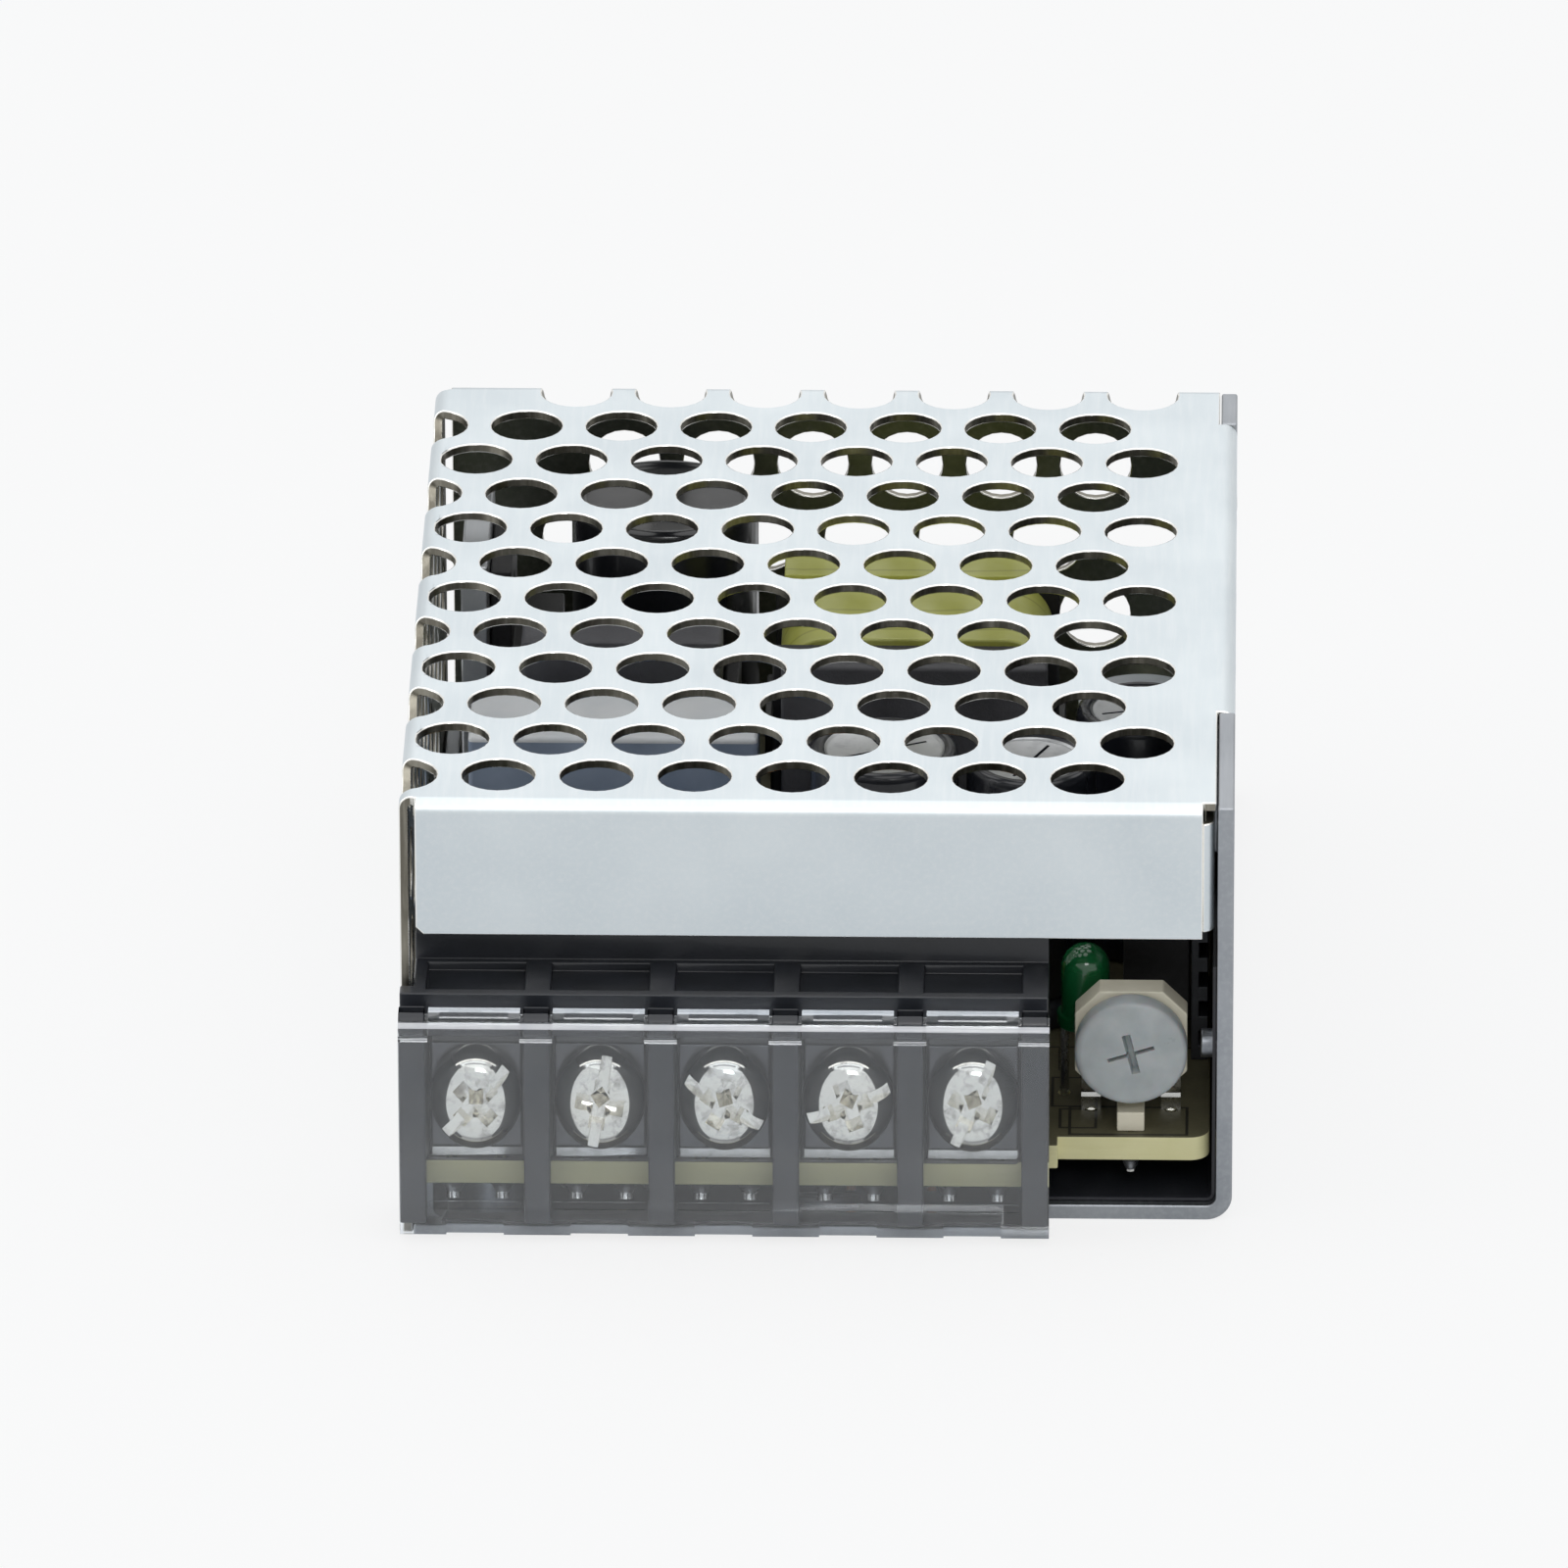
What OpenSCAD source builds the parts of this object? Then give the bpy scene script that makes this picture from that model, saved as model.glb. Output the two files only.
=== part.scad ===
// Enclosed switching power supply: a folded perforated cover over an aluminium
// chassis, a five-way barrier terminal block behind a clear hinged shield, and
// the populated circuit board that shows through the mesh.
// X runs across the front, Y from front to back and Z up. The origin is on the
// floor, in the middle of the footprint.

/* [Case] */
// Length of the case, front to back
case_l = 62.5; // [61:0.5:72]
// Width of the case
case_w = 51; // [51:0.5:60]
// Height of the case
case_h = 28; // [27.5:0.5:36]
// Thickness of the chassis sheet
chassis_t = 1; // [0.8:0.1:1.3]
// Inner radius of the chassis folds
chassis_bend = 0.6; // [0.5:0.1:1.2]
// Height of the chassis' low left lip
lip_h = 7; // [5.5:0.5:8]

/* [Cover] */
// Thickness of the perforated sheet
cover_t = 0.6; // [0.4:0.1:0.7]
// Outer radius of the sheet's folds
cover_fold = 0.8; // [0.8:0.1:1.3]
// Height of the front flange
flange_h = 8.9; // [7:0.1:9]
// Pitch of the holes along a row
hole_pitch = 6; // [5.6:0.1:6.2]
// Diameter of the holes
hole_d = 4.5; // [3:0.1:4.7]
// Distance from the front of the sheet to the first row of holes
first_row = 4.2; // [4:0.1:5]
// Depth of the flange that laps over the right wall
side_flange_h = 8; // [6:0.5:9]
// Distance from the front to the start of that flange
side_flange_y = 14; // [13:0.5:20]
// Distance from that flange's end to the back
side_flange_back = 5.5; // [5:0.5:18]

/* [Circuit board] */
// Thickness of the board
board_t = 1.6; // [1:0.1:1.6]
// Height of the board's underside above the floor
board_z = 3.9; // [3.6:0.1:4.2]

/* [Terminals] */
// Width kept free at the right of the block
adjuster_room = 11.3; // [11.2:0.1:13]
// Thickness of the barriers
barrier_t = 1.6; // [1.2:0.1:1.8]
// Height of the block's top
block_h = 15.5; // [15.3:0.1:16]
// Diameter of the terminal screws' thread
screw_d = 2.9; // [2.4:0.1:3]
// Gap between the terminal screws' heads and the barriers
screw_head_gap = 0.21; // [0.21:0.05:0.71]
// Thickness of the clear shield
shield_t = 0.8; // [0.6:0.1:0.9]
// Height of the screws above the floor
screw_z = 8.9; // [8.7:0.1:9.1]

/* [Adjuster and lamp] */
// Width across the flats of the adjuster
trimmer_w = 6.9; // [6:0.1:7]
// Diameter of the adjuster's turning disc
rotor_d = 6.9; // [5:0.1:7]
// Diameter of the indicator lamp
lamp_d = 3; // [2.6:0.1:3]

/* [Hidden] */
$fn = 32;

eps = 0.01;
gap = 0.1;                          // ordinary assembly gap
thread_gap = 0.05;                  // radial gap of a screw in its thread
left = -case_w / 2;
right = case_w / 2;

// Chassis
chassis_fold = chassis_t + chassis_bend;
wall_in = right - chassis_t;        // inner face of the right wall
chassis_left = left + cover_t + gap;
chassis_back = case_l - cover_t - gap;
lip_y = 7.5;                        // the lip starts behind the terminal block
joggle = cover_t + 0.05;            // inward step of the wall under the flange
joggle_z = case_h - side_flange_h - 0.3;
side_flange_end = case_l - side_flange_back;
side_flange_l = side_flange_end - side_flange_y;
boss_r = 2.6;
m3_r = 1.5;                         // clear radius of a cut M3 thread
m3_tap_r = 1.25;                    // radius of an M3 tapping hole
collar_r = 2.3;
collar_h = 1;
floor_mounts = [[0, 17], [0, 49]];  // tapped holes in the floor
mount_back = 7.3;                   // from the wall's last tapped hole to its back edge
mount_pitch = 17.5;
wall_mounts = [for (k = [1, 0]) [chassis_back - mount_back - k * mount_pitch, 10]]; // Y and Z
pip = [4, 10.2];                    // locating pip in the right wall, Y and Z
pip_r = 0.9;

// Insulating sheet
film_t = 0.2;
film_gap = 0.05;
film_h = 17;

// Circuit board
board_top = board_z + board_t;
board_left = chassis_left + chassis_t + 0.4;
board_tongue = left + cover_t + 0.3;    // wider tongue under the terminal block
board_right = wall_in - film_gap - film_t - 0.15;
board_back = case_l - cover_t - 1;
board_front = 0.35;
board_nose = -0.9;                  // front edge under the terminal block
board_hole_r = 1.7;
pin_end = board_z - 1.2;            // leads end below the board
lead_r = 0.35;

// Terminal block
cells = 5;
block_right = right - adjuster_room;
cell_pitch = (block_right - left - barrier_t) / cells;
cell_w = cell_pitch - barrier_t;
screw_head_d = cell_w - 2 * screw_head_gap;
board_step = block_right + 0.6;
block_front = -2.9;
block_back = 7;
block_low = 1.3;                    // lower end of the barriers
body_y = 2.7;                       // front of the solid body behind the plates
roof_z = 13;
roof_y = -0.8;
rise_y = 4.1;                       // the top steps up behind here
rise_h = 1.8;
plate_t = 1;
plate_y = body_y - gap - plate_t;
washer_t = 0.8;
washer_y = plate_y - washer_t;
head_h = 2.1;
screw_l = 4.6;
screw_travel = 1.5;
slot_angles = [45, 80, -30, 20, 65];

// Clear shield
shield_y = -3.9;
shield_low = 0.6;
hinge_y = -2.5;
hinge_z = 14.4;
hinge_r = 0.5;
ear_r = 0.95;
shelf_t = 1;
shelf_back = -1.5;

// Adjuster and lamp
trimmer_x = right - 6.25;
trimmer_y = 2.4;
trimmer_t = 1.8;
trimmer_z = 7.5 + trimmer_w / 2;
trimmer_leg = trimmer_w / 2 - 1;    // from the middle of the adjuster to a leg
leg_t = 0.3;
trimmer_back = trimmer_y + trimmer_t + leg_t / 2;   // middle of the legs' sheet
rotor_t = 1.5;
rotor_pin_r = 1.1;
lamp_x = right - 9.1;
lamp_y = 6.6;
lamp_z = 10.3;
lamp_h = 5.3;

// The plan of the parts is drawn for a board of this size and follows the board
plan_w = 47.5;
plan_l = 60.55;
span_x = (board_right - board_left) / plan_w;
span_y = (board_back - board_front) / plan_l;
span = min(span_x, span_y);

// Place on the board, from its front left corner, with any further values
function place(x, y, more = []) = concat([board_left + x * span_x, board_front + y * span_y], more);

board_holes = [place(2.9, 10.65), place(2.9, 57.55), place(44.3, 57.55)];

// Larger parts on the board: place, width, depth and height
fuse_at = place(10.25, 12.15);
thermistor_at = place(18.8, 12.65);
varistor_at = place(27.8, 11.15);
line_cap = place(1.2, 25.15, [18 * span_x, 8 * span_y, 15]);
choke = place(10.4, 39.15, [12.6 * span_x, 7 * span_y, 16]);
bulk_at = place(12.8, 50.55);
bulk_r = 5.9 * span;
bulk_h = 20;
bridge_at = place(23.2, 55.65);
xfmr = place(28.9, 37.25, [18.6 * span_x, 18 * span_y, 18.5]);
sink_x = board_left + 0.3;
sink_l = 13.8 * span_y;
package_w = 10 * span_y;            // width of the flat power packages
rect_x = wall_in - 4.6;
rect_y = board_front + 11.85 * span_y;
cans = [place(27.2, 20.05, [4.6 * span, 17]), place(36.3, 18.55, [4 * span, 17]),
    place(43, 28.25, [4 * span, 16])];
output_choke_at = place(43, 42.05);
snubber_at = place(28.4, 26.65);
opto_at = place(43, 50.35);
chip_at = place(32.4, 56.15);
resistor_spots = [place(24.4, 48.05), place(34.3, 48.05), place(6.4, 18.15), place(6.4, 21.65)];
resistor_reach = 4.5 * span_x;      // from the middle of a resistor to its lead

function barrier_x(i) = left + barrier_t / 2 + cell_pitch * i;
function cell_x(i) = barrier_x(i) + cell_pitch / 2;

// Every lead that passes through the board: X, Y and radius
disc_pitch = 5 * span;
can_pitch = 3.5;
plate_pins = [for (i = [0 : cells - 1], s = [-1, 1]) [cell_x(i) + s * 1.5, plate_y + plate_t / 2, 0.45]];
lamp_pins = [for (s = [-1, 1]) [lamp_x + s * 1.27, lamp_y, 0.28]];
trimmer_pin_at = [[trimmer_x - trimmer_leg, trimmer_back, 0.3], [trimmer_x + trimmer_leg, trimmer_back, 0.3],
    [trimmer_x, trimmer_y - 0.9, 0.3]];
fuse_pins = [for (s = [-1, 1]) [fuse_at[0] + s * 2.54, fuse_at[1], lead_r]];
thermistor_pins = [for (s = [-1, 1]) [thermistor_at[0] + s * disc_pitch / 2, thermistor_at[1], lead_r]];
varistor_pins = [for (s = [-1, 1]) [varistor_at[0] + s * disc_pitch / 2, varistor_at[1], lead_r]];
line_cap_pins = [for (s = [-1, 1]) [line_cap[0] + line_cap[2] / 2 + s * 7.5, line_cap[1] + line_cap[3] / 2, 0.4]];
choke_pins = [for (s = [-1, 1], t = [-1, 1]) [choke[0] + s * 4, choke[1] + t * 2.5, lead_r]];
safety_at = [place(15, 20.85, [0]), place(20.8, 18.65, [90])];
safety_pins = [for (c = safety_at, s = [-1, 1]) [c[0] + s * disc_pitch / 2 * cos(c[2]),
    c[1] + s * disc_pitch / 2 * sin(c[2]), 0.3]];
bridge_pins = [for (s = [-1, 1], t = [-1, 1]) [bridge_at[0] + s * 2.54, bridge_at[1] + t * 3.81 * span_y, 0.3]];
bulk_pins = [for (s = [-1, 1]) [bulk_at[0], bulk_at[1] + s * 2.5, lead_r]];
transistor_at = [sink_x + 1.7, board_front + 48.25 * span_y];
transistor_pins = [for (k = [-1 : 1]) [transistor_at[0] + 1.6, transistor_at[1] + k * 2.54, 0.4]];
xfmr_pins = [for (s = [-1, 1], k = [-2 : 2]) [xfmr[0] + k * 3, xfmr[1] + s * (xfmr[3] / 2 - 0.8), 0.4]];
rectifier_pins = [for (k = [-1, 1]) [rect_x + 0.6, rect_y + package_w / 2 + k * 2.54, 0.4]];
can_pins = [for (c = cans, s = [-1, 1]) [c[0] + s * can_pitch / 2, c[1], 0.3]];
output_choke_pins = [for (s = [-1, 1]) [output_choke_at[0], output_choke_at[1] + s * 2.5, lead_r]];
snubber_pins = [for (s = [-1, 1]) [snubber_at[0] + s * disc_pitch / 2, snubber_at[1], 0.3]];
opto_pins = [for (s = [-1, 1], t = [-1, 1]) [opto_at[0] + s * 1.27, opto_at[1] + t * 3.81 * span_y, 0.3]];
chip_pins = [for (s = [-1, 1], k = [-1.5 : 1.5]) [chip_at[0] + k * 2.54, chip_at[1] + s * 3.81 * span_y, 0.3]];
resistor_pins = [for (r = resistor_spots, s = [-1, 1]) [r[0] + s * resistor_reach, r[1], 0.3]];
all_pins = concat(plate_pins, lamp_pins, trimmer_pin_at, fuse_pins, thermistor_pins, varistor_pins,
    line_cap_pins, choke_pins, safety_pins, bridge_pins, bulk_pins, transistor_pins, xfmr_pins,
    rectifier_pins, can_pins, output_choke_pins, snubber_pins, opto_pins, chip_pins, resistor_pins);

// ---------------------------------------------------------------- helpers

// Moves the case so that the origin is in the middle of the footprint
module centred() {
    translate([0, -(case_l + shield_y) / 2, 0]) children();
}

// Box between two limits on each axis
module box(x, y, z) {
    translate([x[0], y[0], z[0]]) cube([x[1] - x[0], y[1] - y[0], z[1] - z[0]]);
}

// Rectangle between two limits on each axis
module rect(x, y) {
    polygon([[x[0], y[0]], [x[1], y[0]], [x[1], y[1]], [x[0], y[1]]]);
}

module rod_x(x, y, z, r) {
    translate([x[0], y, z]) rotate([0, 90, 0]) cylinder(h = x[1] - x[0], r = r);
}

module rod_y(x, y, z, r) {
    translate([x, y[1], z]) rotate([90, 0, 0]) cylinder(h = y[1] - y[0], r = r);
}

module rod_z(x, y, z, r) {
    translate([x, y, z[0]]) cylinder(h = z[1] - z[0], r = r);
}

// Quarter-round fold along Y; angle 0 is the +X +Z quarter
module fold_y(x, z, y, r, t, angle) {
    translate([x, y[1], z]) rotate([90, 0, 0]) rotate([0, 0, angle])
        rotate_extrude(angle = 90) translate([r - t, 0]) square([t, y[1] - y[0]]);
}

// Quarter-round fold along X; angle 0 is the +Y +Z quarter
module fold_x(y, z, x, r, t, angle) {
    translate([x[0], y, z]) rotate([90, 0, 90]) rotate([0, 0, angle])
        rotate_extrude(angle = 90) translate([r - t, 0]) square([t, x[1] - x[0]]);
}

// Shape drawn in Y and Z, extruded along X
module across(x) {
    translate([x[0], 0, 0]) rotate([90, 0, 90]) linear_extrude(x[1] - x[0]) children();
}

// Leads through the board, from a height down to the cut ends
module leads(list, top) {
    for (p = list) translate([p[0], p[1], pin_end]) cylinder(h = top - pin_end, r = p[2], $fn = 8);
}

// ------------------------------------------------------------ chassis

module wall_panels() {
    box([right - chassis_t, right], [0, chassis_back], [chassis_fold, joggle_z]);
    box([right - chassis_t, right], [0, side_flange_y - gap], [joggle_z - eps, case_h]);
    box([right - chassis_t, right], [side_flange_end + gap, chassis_back], [joggle_z - eps, case_h]);
    box([right - joggle - chassis_t, right - joggle], [side_flange_y - 0.9, side_flange_end + 0.9],
        [joggle_z - 0.9, case_h - cover_fold]);
}

module chassis() {
    color("#a9afb4") centred() difference() {
        union() {
            box([chassis_left + chassis_fold, right - chassis_fold], [0, chassis_back], [0, chassis_t]);
            box([chassis_left, chassis_left + chassis_fold + eps], [0, lip_y - 0.5], [0, chassis_t]);
            fold_y(right - chassis_fold, chassis_fold, [0, chassis_back], chassis_fold, chassis_t, 270);
            fold_y(chassis_left + chassis_fold, chassis_fold, [lip_y, chassis_back], chassis_fold, chassis_t, 180);
            box([chassis_left, chassis_left + chassis_t], [lip_y, chassis_back], [chassis_fold, lip_h]);
            wall_panels();
            for (p = board_holes) rod_z(p[0], p[1], [chassis_t - eps, board_z], boss_r);
            for (p = floor_mounts) rod_z(p[0], p[1], [chassis_t - eps, chassis_t + collar_h], collar_r);
            for (p = wall_mounts) rod_x([wall_in - collar_h, wall_in + eps], p[0], p[1], collar_r);
            rod_x([wall_in - collar_h, wall_in + eps], pip[0], pip[1], pip_r);
        }
        for (p = board_holes) rod_z(p[0], p[1], [-1, board_z + 1], m3_r);
        for (p = floor_mounts) rod_z(p[0], p[1], [-1, chassis_t + collar_h + 1], m3_tap_r);
        for (p = wall_mounts) rod_x([wall_in - collar_h - 1, right + 1], p[0], p[1], m3_tap_r);
        rod_x([right - 0.8, right + 1], pip[0], pip[1], pip_r - 0.1);
        for (s = cover_screw_at) cover_screw_cut(s, m3_r);
    }
}

// ------------------------------------------------------------ mesh cover

row_pitch = hole_pitch * sqrt(3) / 2;
rows = floor((case_l - first_row - cover_fold / 2) / row_pitch);
top_in = left + cover_fold;
top_right = right - chassis_t - 0.1;
cover_back = case_l - cover_fold;
corner_gap = 0.9;                   // relief where two folds meet
wall_low = 0.4;
flange_left = left + corner_gap + 0.1;
flange_right = wall_in - 0.2;
solid_strip = 3.7;                  // blank edge along the right of the top
low_strip = 8.5;                    // blank edge along the bottom of the walls
tab_l = 4.4;
weld = 0.00000005;                  // keeps flats and folds in touch when sizes are rounded

// The sheet's holes stand in staggered rows. Row k lies at this distance from
// the front, and every other row is shifted by half a pitch.
function row_y(k) = first_row + row_pitch * k;
function row_shift(k) = (k % 2 == 0) ? 0 : hole_pitch / 2;

// Holes of the flat top, as a 2D pattern in X and Y
module top_holes() {
    for (k = [0 : rows], c = [0 : 1 : (case_w - solid_strip - row_shift(k)) / hole_pitch]) {
        x = left + row_shift(k) + hole_pitch * c;
        if (x + hole_d / 2 <= right - solid_strip + 0.2 && (k < rows || x > left + 8)) {
            translate([x, row_y(k)]) rotate(15) circle(d = hole_d, $fn = 12);
        }
    }
}

// Holes of the left wall, as a 2D pattern in Y and Z
module left_holes() {
    for (k = [0 : rows - 1], c = [0 : 1 : case_h / hole_pitch]) {
        z = case_h - hole_pitch + row_shift(k) + (hole_pitch - 2 * row_shift(k)) - hole_pitch * c;
        if (z - hole_d / 2 >= low_strip - 1.6) {
            translate([row_y(k), z]) rotate(15) circle(d = hole_d, $fn = 12);
        }
    }
}

// Holes of the back wall, as a 2D pattern in X and Z
module back_holes() {
    for (k = [rows : rows + 3], c = [0 : 1 : (case_w - solid_strip - row_shift(k)) / hole_pitch]) {
        x = left + row_shift(k) + hole_pitch * c;
        z = case_h - (row_y(k) - row_y(rows));
        if (x + hole_d / 2 <= right - solid_strip + 0.2 && x > left + 5 && z - hole_d / 2 > low_strip - 1.6
            && (k > rows || x > left + 8)) {
            translate([x, z]) rotate(15) circle(d = hole_d, $fn = 12);
        }
    }
}

module top_plate() {
    translate([0, 0, case_h - cover_t]) linear_extrude(cover_t) difference() {
        union() {
            rect([top_in - weld, top_right], [cover_fold - weld, cover_back + weld]);
            rect([0, right - cover_fold + weld], [side_flange_y, side_flange_end]);
        }
        top_holes();
    }
}

module left_wall() {
    difference() {
        union() {
            translate([left, 0, 0]) rotate([90, 0, 90]) linear_extrude(cover_t) difference() {
                rect([corner_gap, cover_back - 0.1], [wall_low, case_h - cover_fold + weld]);
                left_holes();
            }
            fold_y(left + cover_fold, case_h - cover_fold, [corner_gap, cover_back - 0.1],
                cover_fold, cover_t, 90);
        }
        // holes that cross the fold, seen from above and from the side
        intersection() {
            translate([0, 0, case_h - 3]) linear_extrude(4) top_holes();
            box([left - 1, left + cover_fold], [0, case_l], [case_h - cover_fold, case_h + 1]);
        }
        intersection() {
            translate([left - 1, 0, 0]) rotate([90, 0, 90]) linear_extrude(3) left_holes();
            box([left - 1, left + cover_fold], [0, case_l], [case_h - cover_fold, case_h + 1]);
        }
    }
}

module back_wall() {
    difference() {
        union() {
            translate([0, case_l, 0]) rotate([90, 0, 0]) linear_extrude(cover_t) difference() {
                rect([flange_left, top_right], [chassis_t + 0.3, case_h - cover_fold + weld]);
                back_holes();
            }
            fold_x(cover_back, case_h - cover_fold, [flange_left, top_right], cover_fold, cover_t, 0);
        }
        intersection() {
            translate([0, 0, case_h - 3]) linear_extrude(4) top_holes();
            box([left, right], [cover_back, case_l + 1], [case_h - cover_fold, case_h + 1]);
        }
        intersection() {
            translate([0, case_l + 1, 0]) rotate([90, 0, 0]) linear_extrude(3) back_holes();
            box([left, right], [cover_back, case_l + 1], [case_h - cover_fold, case_h + 1]);
        }
    }
}

// Blank flange below the front edge, with a tab folded back inside the wall
module front_flange() {
    low = case_h - flange_h;
    tab_r = 0.7;
    fold_x(cover_fold, case_h - cover_fold, [flange_left, flange_right - tab_r], cover_fold, cover_t, 90);
    translate([0, cover_t, 0]) rotate([90, 0, 0]) linear_extrude(cover_t) polygon([
        [flange_left, case_h - cover_fold + weld], [flange_left, low + 0.5], [flange_left + 0.5, low],
        [flange_right - tab_r - 0.5, low], [flange_right - tab_r + weld, low + 0.5],
        [flange_right - tab_r + weld, case_h - cover_fold + weld]]);
    translate([flange_right - tab_r, tab_r, low + 0.5])
        rotate([0, 0, 270]) rotate_extrude(angle = 90) translate([tab_r - cover_t, 0])
        square([cover_t, flange_h - cover_fold - 0.8]);
    box([flange_right - cover_t, flange_right], [tab_r, tab_r + tab_l], [low + 0.5, case_h - cover_fold - 0.3]);
}

// Countersunk cover screws: side (-1 left, 1 right), Y and Z
cover_screw_at = [[-1, 12, 4.3], [-1, 50, 4.3], [1, 24, joggle_z + 4], [1, 47, joggle_z + 4]];
head_cone_r = 2.6;
head_cone_h = 1.2;
cover_screw_l = 1.65;

function cover_face(s) = s[0] < 0 ? left : right;

module cover_screw_cut(s, r) {
    translate([cover_face(s), s[1], s[2]]) rotate([0, -90 * s[0], 0]) {
        translate([0, 0, -1]) cylinder(h = 8, r = r);
        translate([0, 0, -eps]) cylinder(h = head_cone_h + gap, r1 = head_cone_r + gap, r2 = m3_r - 0.05);
    }
}

module mesh_cover() {
    color("#e3e8ea") centred() difference() {
        union() {
            top_plate();
            left_wall();
            back_wall();
            front_flange();
            fold_y(right - cover_fold, case_h - cover_fold, [side_flange_y, side_flange_end],
                cover_fold, cover_t, 0);
            translate([right - cover_t, 0, 0]) rotate([90, 0, 90]) linear_extrude(cover_t)
                rect([side_flange_y, side_flange_end], [case_h - side_flange_h, case_h - cover_fold + weld]);
        }
        for (s = cover_screw_at) cover_screw_cut(s, m3_r + 0.2);
    }
}

module cover_screws() {
    color("#c3c7c9") centred() for (s = cover_screw_at)
        translate([cover_face(s), s[1], s[2]]) rotate([0, -90 * s[0], 0]) difference() {
            union() {
                cylinder(h = head_cone_h, r1 = head_cone_r, r2 = m3_r - thread_gap);
                cylinder(h = cover_screw_l, r = m3_r - thread_gap);
            }
            for (a = [0, 90]) rotate([0, 0, a]) translate([-1.4, -0.3, -1]) cube([2.8, 0.6, 1.8]);
        }
}

// ------------------------------------------------------------ inside the case

module insulating_sheet() {
    z = chassis_t + film_gap;
    x = wall_in - film_gap;
    r = chassis_fold - chassis_t - film_gap;
    y = [0.6, chassis_back - 0.4];
    color("#1c1c20") centred() difference() {
        union() {
            box([chassis_left + chassis_fold + 0.1, right - chassis_fold], y, [z, z + film_t]);
            fold_y(right - chassis_fold, chassis_fold, y, r, film_t, 270);
            box([x - film_t, x], y, [chassis_fold, film_h]);
        }
        for (p = board_holes) rod_z(p[0], p[1], [0, 5], boss_r + 0.3);
        for (p = floor_mounts) rod_z(p[0], p[1], [0, 5], collar_r + 0.3);
        for (p = wall_mounts) rod_x([x - 2, x + 2], p[0], p[1], collar_r + 0.3);
        rod_x([x - 2, x + 2], pip[0], pip[1], pip_r + 0.3);
    }
}

module circuit_board() {
    r = 1.2;
    color("#c9c48d") centred() translate([0, 0, board_z]) linear_extrude(board_t) difference() {
        union() {
            polygon([[board_tongue, board_nose], [board_step, board_nose], [board_step, board_front],
                [board_right - r, board_front], [board_right - r, board_front + r],
                [board_right, board_front + r], [board_right, board_back], [board_left, board_back],
                [board_left, lip_y - 0.4], [board_tongue, lip_y - 0.4]]);
            translate([board_right - r, board_front + r]) circle(r);
        }
        for (p = board_holes) translate([p[0], p[1]]) circle(board_hole_r);
        for (p = all_pins) translate([p[0], p[1]]) circle(p[2] + thread_gap * 2, $fn = 8);
    }
}

// Pan head with a cross recess; the head's underside is at z = 0
module pan_screw(shank_r, head_r, h, l) {
    difference() {
        rotate_extrude() polygon([[0, -l], [shank_r - 0.3, -l], [shank_r, -l + 0.3], [shank_r, 0],
            [head_r, 0], [head_r, h * 0.55], [head_r * 0.93, h * 0.8], [head_r * 0.78, h * 0.96],
            [head_r * 0.6, h], [0, h]]);
        for (a = [0, 90]) rotate([0, 0, a])
            translate([-head_r * 0.6, -0.4, h - 1.1]) cube([head_r * 1.2, 0.8, 2]);
    }
}

module board_screws() {
    color("#c3c7c9") centred() for (p = board_holes)
        translate([p[0], p[1], board_top]) pan_screw(m3_r - thread_gap, 2.7, 1.9, board_top - 1.2);
}

// ------------------------------------------------------------ terminal block

module block_side() {
    polygon([[block_front, block_low], [board_nose - gap, block_low], [board_nose - gap, board_top],
        [block_back, board_top], [block_back, roof_z - 1], [rise_y + 1.5, block_h],
        [roof_y, block_h], [roof_y, roof_z + 0.2], [block_front, roof_z + 0.2]]);
    // eye that holds the shield's hinge bar, open at the top
    difference() {
        union() {
            translate([hinge_y, hinge_z]) circle(ear_r);
            translate([hinge_y - 0.4, roof_z]) square([ear_r + 0.4, hinge_z - roof_z]);
        }
        translate([hinge_y, hinge_z]) circle(hinge_r + thread_gap);
        translate([hinge_y - 0.4, hinge_z]) square([0.8, 2]);
    }
}

module terminal_block() {
    color("#1f2226") centred() difference() {
        union() {
            for (i = [0 : cells]) across([barrier_x(i) - barrier_t / 2, barrier_x(i) + barrier_t / 2])
                block_side();
            across([left + barrier_t / 2, block_right - barrier_t / 2]) union() {
                translate([body_y, board_top]) square([block_back - body_y, roof_z - 1 - board_top]);
                polygon([[roof_y, roof_z], [block_back - 1.2, roof_z - 1.2], [block_back, roof_z - 1],
                    [rise_y + 1.5, block_h], [roof_y, block_h]]);
            }
            across([left + cover_t + 0.2, block_right]) polygon([[rise_y, block_h - 1],
                [rise_y + 1.5, block_h - 1], [rise_y + 1.5, block_h + rise_h - 0.4],
                [rise_y + 1.1, block_h + rise_h], [rise_y, block_h + rise_h]]);
        }
        // room for the folded cover beside the left end
        box([left - 1, left + cover_t + 0.2], [0.3, block_back + 1], [board_top - 1, block_h + rise_h + 1]);
        for (i = [0 : cells - 1]) {
            rod_y(cell_x(i), [body_y - 1, washer_y + screw_l + 0.6], screw_z, screw_d / 2 + 0.4);
            // shallow pocket in the top of each cell
            box([cell_x(i) - cell_w / 2, cell_x(i) + cell_w / 2], [roof_y + 0.7, rise_y - 0.4],
                [block_h - 0.6, block_h + 1]);
        }
    }
}

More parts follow.
